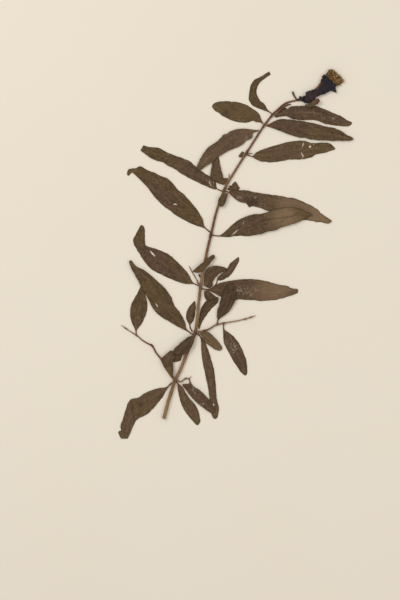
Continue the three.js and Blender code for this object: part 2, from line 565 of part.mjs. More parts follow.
/** A pointed lobe from its foot to its tip, sunk a little way into the calyx. */
function calyxLobe([[x0, y0], [x1, y1]]) {
  const reach = Math.hypot(x1 - x0, y1 - y0) * CALYX_LOBE_SINK;
  const turn = Math.atan2(y1 - y0, x1 - x0) - Math.PI / 2;
  const cone = new THREE.ConeGeometry(0.5, reach, CALYX_LOBE_SIDES).translate(0, -reach / 2, 0);
  cone.scale(CALYX_LOBE_WIDTH, 1, CALYX_LOBE_THICKNESS);
  return cone.rotateZ(turn).translate(x1, y1, CALYX_THICKNESS / 2);
}

/** The flattened calyx with its flared mouth and lobes. */
function flowerCalyx() {
  const rings = calyxCourse.map(([x, y, width], i) => {
    const left = leftOf(headingAt(calyxCourse, i));
    const thickness = Math.min(width * CALYX_FLATNESS, CALYX_THICKNESS);
    const ring = [];
    for (let j = 0; j < CALYX_SIDES; j += 1) {
      const turn = (j / CALYX_SIDES) * Math.PI * 2;
      const point = new THREE.Vector3(x, y, CALYX_THICKNESS / 2);
      point.addScaledVector(left, -Math.cos(turn) * width / 2);
      ring.push(point.addScaledVector(UP, Math.sin(turn) * thickness / 2));
    }
    return ring;
  });
  let solid = toSolid(loftGeometry(rings));
  calyxLobes.forEach((lobe) => {
    solid = solid.add(toSolid(calyxLobe(lobe)));
  });
  return placedMesh('flower_calyx', fromSolid(solid), calyxSkin, calyxCourse[0]);
}

/** The crumpled petals and stamens: one lumpy mass with a flat side at the calyx mouth. */
function flowerPetals() {
  const mouth = headingAt(calyxCourse, calyxCourse.length - 1);
  const facing = Math.atan2(mouth.y, mouth.x) - Math.PI / 2;
  const round = new THREE.IcosahedronGeometry(0.5, PETAL_DETAIL);
  round.deleteAttribute('normal');
  round.deleteAttribute('uv');
  const geometry = BufferGeometryUtils.mergeVertices(round, 1e-4);
  const place = geometry.attributes.position;
  for (let i = 0; i < place.count; i += 1) {
    const point = new THREE.Vector3().fromBufferAttribute(place, i);
    const turn = Math.atan2(point.y, point.x);
    const ruffle = PETAL_RUFFLES.reduce((sum, [depth, count, start, lean]) =>
      sum + depth * Math.sin(turn * count + start + point.z * lean), 1);
    place.setXYZ(i, point.x * ruffle, Math.max(point.y * ruffle, -PETAL_FLAT), point.z);
  }
  geometry.scale(...PETAL_SIZE).rotateZ(facing).translate(...petalPlace);
  return placedMesh('flower_petals', geometry, driedPetal, petalPlace);
}

// ---------------------------------------------------------------------------------------------
// The branch
// ---------------------------------------------------------------------------------------------

const branch = new THREE.Group();
branch.add(mainStem());
twigs.forEach((record) => branch.add(twig(record)));
leaves.forEach((record) => branch.add(leafBlade(record)));
branch.add(twig(flowerStalk, calyxSkin), flowerCalyx(), flowerPetals());
branch.add(twig(flowerBud, budSkin));

// The middle of the underside is the origin.
branch.updateMatrixWorld(true);
const box = new THREE.Box3().setFromObject(branch, true);
const middle = box.getCenter(new THREE.Vector3());
branch.position.set(-middle.x, -middle.y, -box.min.z);

export default branch;
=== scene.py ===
"""Cut pomegranate branch, pressed and dried: the finished look of every piece.

Places are millimetres from the cut end of the stem, as (right, up) or (right, up, height), and
they become metres in the row frame when a piece is shaped. Leaves, limbs and flower follow the
same courses, widths and heights as their solids, to within about a millimetre.
"""

import logging
import math
from collections.abc import Callable
from dataclasses import dataclass, field
from enum import Enum

import bpy
import numpy as np
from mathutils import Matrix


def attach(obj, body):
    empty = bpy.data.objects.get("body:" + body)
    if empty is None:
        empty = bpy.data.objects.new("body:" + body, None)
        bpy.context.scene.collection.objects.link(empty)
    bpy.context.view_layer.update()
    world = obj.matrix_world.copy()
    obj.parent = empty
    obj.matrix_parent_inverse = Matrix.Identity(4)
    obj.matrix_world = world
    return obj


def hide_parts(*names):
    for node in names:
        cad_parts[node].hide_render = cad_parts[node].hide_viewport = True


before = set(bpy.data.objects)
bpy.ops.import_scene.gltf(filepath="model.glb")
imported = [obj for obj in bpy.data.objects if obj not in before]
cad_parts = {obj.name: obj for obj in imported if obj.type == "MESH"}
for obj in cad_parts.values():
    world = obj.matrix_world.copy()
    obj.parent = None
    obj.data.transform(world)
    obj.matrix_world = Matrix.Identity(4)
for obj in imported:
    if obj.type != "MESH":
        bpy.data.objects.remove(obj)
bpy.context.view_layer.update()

LOG = logging.getLogger("branch")
BODY = "root"

MM = 0.001
CUT_END = (-55.205, -126.394, 0.0)  # the cut end of the stem in the row frame, in millimetres
MAP_NAME = "surface"
MAP_UNIT = 100.0  # a surface map counts in steps of this many millimetres
JOIN = 0.5  # how far a stalk or twig reaches on to meet the limb that bears it

Colour = tuple[float, float, float]
Station = tuple[float, ...]
Shaper = Callable[[np.ndarray, np.ndarray], np.ndarray]


class Side(Enum):
    """The two sides of a course, seen from above and looking along it."""

    LEFT = 1
    RIGHT = -1


class TipShape(Enum):
    """How a limb ends."""

    CUT = "cut"
    THORN = "thorn"
    ROUND = "round"


# --- Small sums -------------------------------------------------------


def srgb(red: int, green: int, blue: int) -> Colour:
    """A colour told in screen values from 0 to 255, as linear light."""
    shares = (red / 255, green / 255, blue / 255)
    return tuple(c / 12.92 if c <= 0.04045 else ((c + 0.055) / 1.055) ** 2.4 for c in shares)


def eased(low: float, high: float, value: np.ndarray) -> np.ndarray:
    """A smooth step at each value, from 0 at low to 1 at high."""
    share = np.clip((value - low) / (high - low), 0, 1)
    return share * share * (3 - 2 * share)


def hump(distance: np.ndarray, reach: float) -> np.ndarray:
    """A rounded hump, 1 at no distance and nearly 0 at twice its reach."""
    return np.exp(-((distance / reach) ** 2))


def in_row(places: np.ndarray) -> np.ndarray:
    """Places in millimetres from the cut end, as metres in the row frame."""
    return (places + np.array(CUT_END)) * MM


def from_cut_end(places: np.ndarray) -> np.ndarray:
    """Row frame places in metres, as millimetres right and up from the cut end."""
    return places[:, :2] / MM - np.array(CUT_END[:2])


class Wobble:
    """Smooth seeded unevenness between about -1 and 1, with no repeat that shows."""

    WAVES = 9

    def __init__(self, seed: int, length: float) -> None:
        """Draws the waves.

        Args:
            seed: The seed of the draw.
            length: The usual length of a wave, in millimetres.
        """
        draw = np.random.default_rng(seed)
        turn = draw.uniform(0, 2 * math.pi, self.WAVES)
        pitch = 2 * math.pi / length * draw.uniform(0.6, 1.7, self.WAVES)
        self.across = np.stack([np.cos(turn), np.sin(turn)]) * pitch
        self.start = draw.uniform(0, 2 * math.pi, self.WAVES)

    def __call__(self, x: np.ndarray, y: np.ndarray | float = 0.0) -> np.ndarray:
        """The unevenness at each place.

        Args:
            x: Places along, in millimetres.
            y: Places across, in millimetres.

        Returns:
            The height of the waves there.
        """
        x, y = np.broadcast_arrays(np.asarray(x, float), np.asarray(y, float))
        waves = np.sin(x[..., None] * self.across[0] + y[..., None] * self.across[1] + self.start)
        return waves.sum(-1) / (0.75 * self.WAVES**0.5 * 2**0.5)

    def around(self, along: np.ndarray, turn: np.ndarray, girth: float) -> np.ndarray:
        """The unevenness on a round limb, which meets itself after a full turn."""
        return self(along + girth * np.cos(turn), girth * np.sin(turn))


class Course:
    """A smooth centripetal curve through stations, walked by the share of its length."""

    SAMPLES = 400
    POWER = 0.25
    NUDGE = 1e-3

    def __init__(self, stations: tuple[Station, ...]) -> None:
        """Runs the curve.

        Args:
            stations: The points to pass through, each of two or three numbers.
        """
        points = np.array([(*station, 0.0)[:3] for station in stations], float)
        first, last = 2 * points[0] - points[1], 2 * points[-1] - points[-2]
        points = np.vstack([first, points, last])
        spans = len(points) - 3
        marks = np.linspace(0, spans, self.SAMPLES + 1)
        index = np.minimum(marks.astype(int), spans - 1)
        share = (marks - index)[:, None]
        p0, p1, p2, p3 = (points[index + k] for k in range(4))
        gaps = (np.diff(points, axis=0) ** 2).sum(1) ** self.POWER
        d0, d1, d2 = (gaps[index + k][:, None] for k in range(3))
        out = ((p1 - p0) / d0 - (p2 - p0) / (d0 + d1) + (p2 - p1) / d1) * d1
        back = ((p2 - p1) / d1 - (p3 - p1) / (d1 + d2) + (p3 - p2) / d2) * d1
        square = 3 * (p2 - p1) - 2 * out - back
        cube = 2 * (p1 - p2) + out + back
        self.path = p1 + share * (out + share * (square + share * cube))
        steps = np.linalg.norm(np.diff(self.path, axis=0), axis=1)
        self.walked = np.concatenate([[0.0], np.cumsum(steps)])
        self.length = float(self.walked[-1])

    def at(self, share: np.ndarray) -> np.ndarray:
        """The places at shares of the length, one row of three numbers a share."""
        along = np.asarray(share, float) * self.length
        return np.stack([np.interp(along, self.walked, axis) for axis in self.path.T], -1)

    def left(self, share: np.ndarray) -> np.ndarray:
        """The level directions to the left of the curve.

        Args:
            share: Shares from 0 to 1.

        Returns:
            One unit vector a share.
        """
        share = np.asarray(share, float)
        step = self.at(np.minimum(share + self.NUDGE, 1)) - self.at(np.maximum(share - self.NUDGE, 0))
        side = np.stack([-step[..., 1], step[..., 0], 0 * step[..., 0]], -1)
        return side / np.linalg.norm(side, axis=-1, keepdims=True)


def reaching(stations: tuple[Station, ...]) -> tuple[Station, ...]:
    """Stations with the first moved back, over the gap that a solid keeps to what bears it."""
    if len(stations) < 2:
        return stations
    (x0, y0), (x1, y1) = stations[0][:2], stations[1][:2]
    share = JOIN / math.hypot(x1 - x0, y1 - y0)
    return ((x0 + (x0 - x1) * share, y0 + (y0 - y1) * share), *stations[1:])


# --- Making pieces ----------------------------------------------------


def only(piece: bpy.types.Object) -> None:
    """Makes one piece the only selected and active one.

    Args:
        piece: The piece to select.
    """
    bpy.ops.object.select_all(action="DESELECT")
    piece.select_set(True)
    bpy.context.view_layer.objects.active = piece


def corners_of(piece: bpy.types.Object) -> np.ndarray:
    """The places of a piece's points.

    Args:
        piece: The piece to read.

    Returns:
        One row of three numbers a point, as the mesh holds them.
    """
    places = np.empty(len(piece.data.vertices) * 3)
    piece.data.vertices.foreach_get("co", places)
    return places.reshape(-1, 3)


def set_corners(piece: bpy.types.Object, places: np.ndarray) -> None:
    """Moves a piece's points to places in metres, one row of three numbers a point."""
    piece.data.vertices.foreach_set("co", np.ascontiguousarray(places, float).ravel())
    piece.data.update()


def corner_points(piece: bpy.types.Object) -> np.ndarray:
    """The number of the point at each face corner of a piece.

    Args:
        piece: The piece to read.

    Returns:
        The point numbers, in the order of the face corners.
    """
    points = np.empty(len(piece.data.loops), np.int64)
    piece.data.loops.foreach_get("vertex_index", points)
    return points


def face_corners(piece: bpy.types.Object) -> np.ndarray:
    """The place of each face corner of a piece, in metres."""
    return corners_of(piece)[corner_points(piece)]


def fresh(shape: Callable[..., object], **settings: object) -> bpy.types.Object:
    """Adds a plain shape while nothing else is selected.

    Args:
        shape: The operator that adds it.
        settings: The operator's values.

    Returns:
        The new shape.
    """
    bpy.ops.object.select_all(action="DESELECT")
    shape(**settings)
    return bpy.context.active_object


def shaped_grid(
    name: str, along: int, across: int, shaper: Shaper
) -> tuple[bpy.types.Object, np.ndarray]:
    """A grid whose points are moved to a surface.

    Args:
        name: The piece's name.
        along: How many faces it has along.
        across: How many faces it has across.
        shaper: Gives the place, in millimetres, of shares along (0 to 1) and across (-1 to 1).

    Returns:
        The piece, and its shares along and across, one row a point.
    """
    piece = fresh(
        bpy.ops.mesh.primitive_grid_add, x_subdivisions=along, y_subdivisions=across, size=2)
    piece.name = piece.data.name = name
    flat = corners_of(piece)
    shares = np.stack([(flat[:, 0] + 1) / 2, flat[:, 1]], -1)
    set_corners(piece, in_row(shaper(shares[:, 0], shares[:, 1])))
    return piece, shares


def lay_map(piece: bpy.types.Object, places: np.ndarray) -> None:
    """Lays the surface map on a piece.

    Args:
        piece: The piece to map.
        places: Millimetres along and across the surface, one row a point.
    """
    layer = piece.data.uv_layers[0] if piece.data.uv_layers else piece.data.uv_layers.new()
    layer.name = MAP_NAME
    spread = (places / MAP_UNIT)[corner_points(piece)]
    layer.uv.foreach_set("vector", np.ascontiguousarray(spread, np.float32).ravel())


def read_map(piece: bpy.types.Object) -> np.ndarray:
    """The surface map of a piece.

    Args:
        piece: The piece to read.

    Returns:
        Millimetres along and across, one row a face corner.
    """
    spread = np.empty(len(piece.data.loops) * 2, np.float32)
    piece.data.uv_layers[0].uv.foreach_get("vector", spread)
    return spread.reshape(-1, 2).astype(float) * MAP_UNIT


def write_marks(piece: bpy.types.Object, *marks: np.ndarray | float, name: str = "marks") -> None:
    """Keeps up to four marks, from 0 to 1, at the face corners of a piece.

    Args:
        piece: The piece to mark.
        marks: Each mark: one number, or one a face corner.
        name: The attribute that holds them.
    """
    values = np.zeros((len(piece.data.loops), 4), np.float32)
    for channel, mark in enumerate(marks):
        values[:, channel] = np.clip(mark, 0, 1)
    kept = piece.data.attributes.new(name, "FLOAT_COLOR", "CORNER")
    kept.data.foreach_set("color", values.ravel())


def apply(piece: bpy.types.Object, kind: str, **settings: object) -> None:
    """Adds a modifier to a piece and applies it.

    Args:
        piece: The piece to change.
        kind: The kind of modifier.
        settings: The modifier's values.
    """
    only(piece)
    modifier = piece.modifiers.new(kind.lower(), kind)
    for name, value in settings.items():
        setattr(modifier, name, value)
    bpy.ops.object.modifier_apply(modifier=modifier.name)


def in_edit_mode(piece: bpy.types.Object, *steps: Callable[[], object]) -> None:
    """Runs edit-mode steps on all of a piece.

    Args:
        piece: The piece to change.
        steps: The operators to run, in order.
    """
    only(piece)
    bpy.ops.object.mode_set(mode="EDIT")
    bpy.ops.mesh.select_mode(type="VERT")
    bpy.ops.mesh.select_all(action="SELECT")
    for step in steps:
        step()
    bpy.ops.object.mode_set(mode="OBJECT")


def close_tube(piece: bpy.types.Object) -> None:
    """Merges the seam of a rolled grid, closes its ends and points its faces outwards.

    Args:
        piece: The rolled grid.
    """
    in_edit_mode(
        piece,
        lambda: bpy.ops.mesh.remove_doubles(threshold=1e-7),
        lambda: bpy.ops.mesh.fill_holes(sides=0),
        lambda: bpy.ops.mesh.select_all(action="SELECT"),
        lambda: bpy.ops.mesh.normals_make_consistent(inside=False),
    )


def smooth(piece: bpy.types.Object, angle: float) -> None:
    """Shades a piece smooth, except over edges sharper than an angle in degrees."""
    only(piece)
    bpy.ops.object.shade_smooth_by_angle(angle=math.radians(angle))


def join(pieces: list[bpy.types.Object], name: str) -> bpy.types.Object:
    """Joins pieces into one.

    Args:
        pieces: The pieces to join.
        name: The joined piece's name.

    Returns:
        The joined piece.
    """
    only(pieces[0])
    for piece in pieces[1:]:
        piece.select_set(True)
    bpy.ops.object.join()
    pieces[0].name = pieces[0].data.name = name
    return pieces[0]


def settle(piece: bpy.types.Object, finish: bpy.types.Material, slot: str, *nodes: str) -> None:
    """Dresses a finished piece and gives it its place in the part.

    Args:
        piece: The finished piece.
        finish: Its material.
        slot: The record's material slot; not used.
        nodes: The solids that it stands for.
    """
    piece.data.materials.clear()
    piece.data.materials.append(finish)
    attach(piece, BODY)
    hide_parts(*nodes)
    LOG.info("%s: %d faces", piece.name, len(piece.data.polygons))


# --- Shader work ------------------------------------------------------

Link = bpy.types.NodeSocket


class Graph:
    """A short way to add and join shader nodes in one tree."""

    def __init__(self, tree: bpy.types.NodeTree) -> None:
        """Takes the tree to work in."""
        self.tree = tree

    def add(self, kind: str, values: dict | None = None, **settings: object) -> bpy.types.Node:
        """Adds a node.

        Args:
            kind: The node's type, without its ShaderNode prefix.
            values: What each input takes, by name or number: a socket or a plain value.
            settings: The node's own settings.

        Returns:
            The node.
        """
        made = self.tree.nodes.new("ShaderNode" + kind)
        for name, value in settings.items():
            setattr(made, name, value)
        for name, value in (values or {}).items():
            self.feed(made.inputs[name], value)
        return made

    def feed(self, socket: Link, value: object) -> None:
        """Gives an input a socket to read or a plain value.

        Args:
            socket: The input.
            value: The socket that feeds it, or its value.
        """
        if isinstance(value, bpy.types.NodeSocket):
            self.tree.links.new(value, socket)
        elif socket.type == "RGBA" and len(value) == 3:
            socket.default_value = (*value, 1.0)
        else:
            socket.default_value = value

    def sum(self, operation: str, *terms: object) -> Link:
        """The result of a Math node on sockets or plain numbers."""
        return self.add("Math", dict(enumerate(terms)), operation=operation).outputs[0]

    def times(self, first: object, second: object) -> Link:
        """Two numbers multiplied."""
        return self.sum("MULTIPLY", first, second)

    def plus(self, first: object, second: object) -> Link:
        """Two numbers added."""
        return self.sum("ADD", first, second)

    def less(self, first: object, second: object) -> Link:
        """The second number taken from the first."""
        return self.sum("SUBTRACT", first, second)

    def step(self, value: Link, low: float, high: float) -> Link:
        """A smooth step from 0 at low to 1 at high."""
        values = {"Value": value, "From Min": low, "From Max": high}
        return self.add("MapRange", values, interpolation_type="SMOOTHSTEP").outputs[0]

    def mix(self, share: object, first: object, second: object) -> Link:
        """A mix of two colours.

        Args:
            share: How much of the second shows.
            first: The first colour.
            second: The second colour.

        Returns:
            The mixed colour.
        """
        made = self.add("Mix", data_type="RGBA")
        for index, value in ((0, share), (6, first), (7, second)):
            self.feed(made.inputs[index], value)
        return made.outputs[2]

    def tint(self, colour: object, tint: object, mask: object, share: object) -> Link:
        """A colour that turns to a tint where a mask shows, by no more than a share."""
        return self.mix(self.times(mask, share), colour, tint)

    def noise(self, vector: Link, scale: object, detail: float = 3, rough: float = 0.55) -> Link:
        """Noise between 0 and 1, with a number of finer layers of some strength."""
        values = {"Vector": vector, "Scale": scale, "Detail": detail, "Roughness": rough}
        return self.add("TexNoise", values).outputs[0]

    def stretched(self, vector: Link, x: float, y: float, z: float = 1.0) -> Link:
        """A vector scaled along its three axes."""
        values = {0: vector, 1: (x, y, z)}
        return self.add("VectorMath", values, operation="MULTIPLY").outputs[0]

    def group(self, name: str, values: dict) -> bpy.types.Node:
        """Places a node group.

        Args:
            name: The group's name.
            values: What its inputs take.

        Returns:
            The group's node.
        """
        made = self.tree.nodes.new("ShaderNodeGroup")
        made.node_tree = bpy.data.node_groups[name]
        for socket, value in values.items():
            self.feed(made.inputs[socket], value)
        return made


def start_group(
    name: str, inputs: dict[str, str], outputs: dict[str, str]
) -> tuple[Graph, bpy.types.Node, bpy.types.Node]:
    """Starts a node group with named sockets.

    Args:
        name: The group's name.
        inputs: The kind of each input.
        outputs: The kind of each output.

    Returns:
        Its graph, and the nodes that hold its inputs and its outputs.
    """
    tree = bpy.data.node_groups.new(name, "ShaderNodeTree")
    for way, sockets in (("INPUT", inputs), ("OUTPUT", outputs)):
        for label, kind in sockets.items():
            tree.interface.new_socket(name=label, in_out=way, socket_type="NodeSocket" + kind)
    given = tree.nodes.new("NodeGroupInput")
    wanted = tree.nodes.new("NodeGroupOutput")
    return Graph(tree), given, wanted


class Effects:
    """The effects that several finishes share, each a node group that is built once."""

    AGED = "aged colour"
    GRAIN = "dry grain"
    VEINS = "leaf veins"

    LEAN_SHIFT = 0.55  # how far the lean moves the share of the patches
    BLOTCH_SCALE = 260.0
    FLECK_SCALE = 620.0
    FOLD_WIDTH = 0.16  # of the sunken edges of the grain's cells
    VEIN_SLANT = 0.55  # how far a vein leans towards the tip
    VEIN_BEND = 0.05  # how much more it leans further out
    VEIN_STRAY = 3.4  # how far it strays, in millimetres
    STRAY_SCALE = 22.0
    PAIR_SHIFT = 0.42  # how far the veins of one side are shifted, in spacings

    def build(self) -> None:
        """Builds every group."""
        self.aged()
        self.grain()
        self.veins()

    def aged(self) -> None:
        """Colour that drying has made uneven: broad patches, small blotches and fine flecks."""
        inputs = {"Vector": "Vector", "Base": "Color", "Patch": "Color", "Dark": "Color",
                  "Light": "Color", "Lean": "Float", "Strength": "Float", "Broad": "Float"}
        graph, given, wanted = start_group(self.AGED, inputs, {"Colour": "Color", "Blotch": "Float"})
        ask = given.outputs
        broad = graph.noise(ask["Vector"], ask["Broad"], 3, 0.6)
        broad = graph.plus(broad, graph.times(graph.less(ask["Lean"], 0.5), self.LEAN_SHIFT))
        colour = graph.mix(graph.step(broad, 0.36, 0.64), ask["Base"], ask["Patch"])
        blotch = graph.step(graph.noise(ask["Vector"], self.BLOTCH_SCALE, 4, 0.65), 0.4, 0.66)
        colour = graph.tint(colour, ask["Dark"], blotch, ask["Strength"])
        fleck = graph.step(graph.noise(ask["Vector"], self.FLECK_SCALE, 3, 0.6), 0.5, 0.68)
        colour = graph.tint(colour, ask["Light"], fleck, ask["Strength"])
        graph.feed(wanted.inputs["Colour"], colour)
        graph.feed(wanted.inputs["Blotch"], blotch)

    def grain(self) -> None:
        """The height of a dry skin: fine noise, and cells whose edges are sunk by Wrinkle."""
        inputs = {"Vector": "Vector", "Scale": "Float", "Wrinkle": "Float"}
        graph, given, wanted = start_group(self.GRAIN, inputs, {"Height": "Float"})
        ask = given.outputs
        fine = graph.noise(ask["Vector"], ask["Scale"], 5, 0.6)
        cells = graph.add("TexVoronoi", {"Vector": ask["Vector"], "Scale": ask["Scale"]},
                          feature="DISTANCE_TO_EDGE").outputs["Distance"]
        fold = graph.times(graph.step(cells, 0.0, self.FOLD_WIDTH), ask["Wrinkle"])
        graph.feed(wanted.inputs["Height"], graph.plus(fine, fold))

    def veins(self) -> None:
        """Side veins that leave the midrib in pairs and bend towards the tip."""
        inputs = {"Map": "Vector", "Spacing": "Float", "Width": "Float"}
        graph, given, wanted = start_group(self.VEINS, inputs, {"Vein": "Float"})
        ask = given.outputs
        parts = graph.add("SeparateXYZ", {0: ask["Map"]}).outputs
        along = graph.times(parts[0], MAP_UNIT)
        across = graph.times(parts[1], MAP_UNIT)
        off = graph.sum("ABSOLUTE", across)
        bend = graph.times(graph.times(off, off), self.VEIN_BEND)
        lean = graph.plus(graph.times(off, self.VEIN_SLANT), bend)
        stray = graph.times(graph.noise(ask["Map"], self.STRAY_SCALE, 2), self.VEIN_STRAY)
        place = graph.plus(graph.less(along, lean), stray)
        other = graph.times(graph.sum("GREATER_THAN", across, 0.0), self.PAIR_SHIFT)
        turn = graph.plus(graph.sum("DIVIDE", place, ask["Spacing"]), other)
        gap = graph.sum("ABSOLUTE", graph.less(graph.sum("FRACT", turn), 0.5))
        distance = graph.times(gap, ask["Spacing"])
        vein = graph.less(1.0, graph.sum("DIVIDE", distance, ask["Width"]))
        graph.feed(wanted.inputs["Vein"], graph.step(vein, 0.0, 1.0))


def start_material(name: str) -> tuple[bpy.types.Material, Graph, bpy.types.Node, Link]:
    """Starts a material with its surface shader.

    Args:
        name: The material's name.

    Returns:
        The material, its graph, its surface shader and the place that patterns are read at.
    """
    made = bpy.data.materials.new(name)
    made.use_nodes = True
    graph = Graph(made.node_tree)
    place = graph.add("TexCoord").outputs["Object"]
    return made, graph, made.node_tree.nodes["Principled BSDF"], place


def marks_of(graph: Graph, name: str = "marks") -> tuple[Link, Link, Link, Link]:
    """The four marks that a piece carries.

    Args:
        graph: The material's graph.
        name: The attribute that holds them.

    Returns:
        The four numbers.
    """
    kept = graph.add("Attribute", attribute_type="GEOMETRY", attribute_name=name)
    parts = graph.add("SeparateColor", {0: kept.outputs["Color"]}).outputs
    return parts[0], parts[1], parts[2], kept.outputs["Alpha"]


def map_of(graph: Graph) -> Link:
    """The surface map of a piece."""
    return graph.add("UVMap", uv_map=MAP_NAME).outputs[0]


def aged(
    graph: Graph, place: Link, colours: tuple[Colour, Colour, Colour, Colour], lean: object,
    strength: float, broad: float = 95.0
) -> tuple[Link, Link]:
    """Colour that drying has made uneven.

    Args:
        graph: The material's graph.
        place: Where the patterns are read.
        colours: The base, and the colours of its patches, dark blotches and light flecks.
        lean: How far the base gives way to the patches.
        strength: How strongly blotches and flecks show.
        broad: How fine the patches are.

    Returns:
        The colour, and where it is blotched.
    """
    values = {"Vector": place, "Lean": lean, "Strength": strength, "Broad": broad}
    values.update(zip(("Base", "Patch", "Dark", "Light"), colours))
    made = graph.group(Effects.AGED, values)
    return made.outputs["Colour"], made.outputs["Blotch"]


@dataclass(frozen=True)
class Skin:
    """How dull a dry surface is, and how its fine grain stands out."""

    roughness: float
    unevenness: float  # how much rougher it is at its blotches
    specular: float
    grain_scale: float
    wrinkle: float
    strength: float
    depth: float  # of the grain, in metres

    def dress(
        self, graph: Graph, surface: bpy.types.Node, place: Link, colour: Link, blotch: Link,
        relief: Link | None = None
    ) -> None:
        """Joins the colour, the dullness and the grain to the surface shader.

        Args:
            graph: The material's graph.
            surface: The surface shader.
            place: Where the grain is read.
            colour: The finished colour.
            blotch: Where the surface is rougher.
            relief: A height to add to that of the grain.
        """
        graph.feed(surface.inputs["Base Color"], colour)
        rough = graph.plus(graph.times(blotch, self.unevenness), self.roughness)
        graph.feed(surface.inputs["Roughness"], rough)
        surface.inputs["Specular IOR Level"].default_value = self.specular
        values = {"Vector": place, "Scale": self.grain_scale, "Wrinkle": self.wrinkle}
        height = graph.group(Effects.GRAIN, values).outputs["Height"]
        if relief is not None:
            height = graph.plus(relief, height)
        values = {"Height": height, "Strength": self.strength, "Distance": self.depth}
        graph.feed(surface.inputs["Normal"], graph.add("Bump", values).outputs["Normal"])


@dataclass(frozen=True)
class LeafFinish:
    """A pressed leaf: dull, brittle, olive where it kept some green and umber where it lost it."""

    olive: Colour = srgb(87, 68, 38)
    umber: Colour = srgb(85, 64, 47)
    dark: Colour = srgb(40, 29, 20)
    light: Colour = srgb(140, 113, 86)
    margin: Colour = srgb(58, 42, 20)
    vein: Colour = srgb(116, 92, 64)
    foot: Colour = srgb(98, 62, 34)
    worn: Colour = srgb(150, 136, 116)
    scorch: Colour = srgb(44, 30, 26)
    speck_share: float = 0.25  # these shares are how strongly each effect shows
    vein_share: float = 0.2
    rib_share: float = 0.3
    margin_share: float = 0.75
    foot_share: float = 0.8
    scorch_share: float = 0.5
    worn_share: float = 0.75
    shade_share: float = 1.3
    pale_streak_share: float = 0.34
    dark_streak_share: float = 0.45
    margin_green: float = 0.55  # how much less umber the margin is
    vein_spacing: float = 4.6
    vein_width: float = 0.34
    vein_relief: float = -0.9
    skin: Skin = Skin(0.7, 0.16, 0.2, 1150.0, 0.3, 0.4, 0.00012)

    def make(self) -> bpy.types.Material:
        """Builds the material from its colours and the marks on each leaf."""
        made, graph, surface, place = start_material("pressed leaf")
        rib, edge, bare, scorched = marks_of(graph)
        lean, shade, seed, foot = marks_of(graph, "cast")
        spread = map_of(graph)
        inside = graph.less(1.0, edge)
        kept = graph.less(lean, graph.times(edge, self.margin_green))
        colours = (self.olive, self.umber, self.dark, self.light)
        colour, blotch = aged(graph, place, colours, kept, 0.3, 40.0)
        colour = self.shaded(graph, colour, shade)
        colour = self.streaked(graph, colour, spread, seed)
        speck = graph.step(graph.noise(place, 950, 3, 0.7), 0.5, 0.66)
        colour = graph.tint(colour, self.dark, speck, self.speck_share)
        values = {"Map": spread, "Spacing": self.vein_spacing, "Width": self.vein_width}
        vein = graph.group(Effects.VEINS, values).outputs["Vein"]
        colour = graph.tint(colour, self.vein, graph.times(vein, inside), self.vein_share)
        colour = graph.tint(colour, self.vein, rib, self.rib_share)
        rim = graph.step(graph.noise(place, 420, 3), 0.25, 0.6)
        rim = graph.times(graph.sum("POWER", edge, 3.0), rim)
        colour = graph.tint(colour, self.margin, rim, self.margin_share)
        colour = graph.tint(colour, self.foot, foot, self.foot_share)
        # the scorched mark also darkens the lines of the creases
        colour = graph.tint(colour, self.scorch, scorched, self.scorch_share)
        spots = graph.step(graph.noise(place, 560, 3, 0.6), 0.5, 0.62)
        colour = graph.tint(colour, self.worn, graph.times(bare, spots), self.worn_share)
        relief = graph.times(vein, self.vein_relief)
        self.skin.dress(graph, surface, place, colour, blotch, relief)
        return made

    def shaded(self, graph: Graph, colour: Link, shade: Link) -> Link:
        """The colour made darker where the shade is above a half, and paler where it is below.

        Args:
            graph: The material's graph.
            colour: The colour.
            shade: The shade, from 0 to 1.

        Returns:
            The shaded colour.
        """
        more = graph.less(shade, 0.5)
        for tint, way in ((self.dark, self.shade_share), (self.light, -self.shade_share)):
            colour = graph.mix(graph.sum("MAXIMUM", graph.times(more, way), 0.0), colour, tint)
        return colour

    def streaked(self, graph: Graph, colour: Link, spread: Link, seed: Link) -> Link:
        """The colour with long pale and dark streaks that run with the leaf.

        Args:
            graph: The material's graph.
            colour: The colour.
            spread: The surface map.
            seed: The leaf's own number, from 0 to 1.

        Returns:
            The streaked colour.
        """
        shift = graph.add("CombineXYZ", {2: graph.times(seed, 60.0)}).outputs[0]
        along = graph.add("VectorMath", {0: graph.stretched(spread, 9.0, 75.0), 1: shift}).outputs[0]
        fibre = graph.noise(along, 1.0, 4, 0.7)
        colour = graph.tint(colour, self.light, graph.step(fibre, 0.5, 0.72), self.pale_streak_share)
        return graph.tint(colour, self.dark, graph.step(fibre, 0.5, 0.26), self.dark_streak_share)


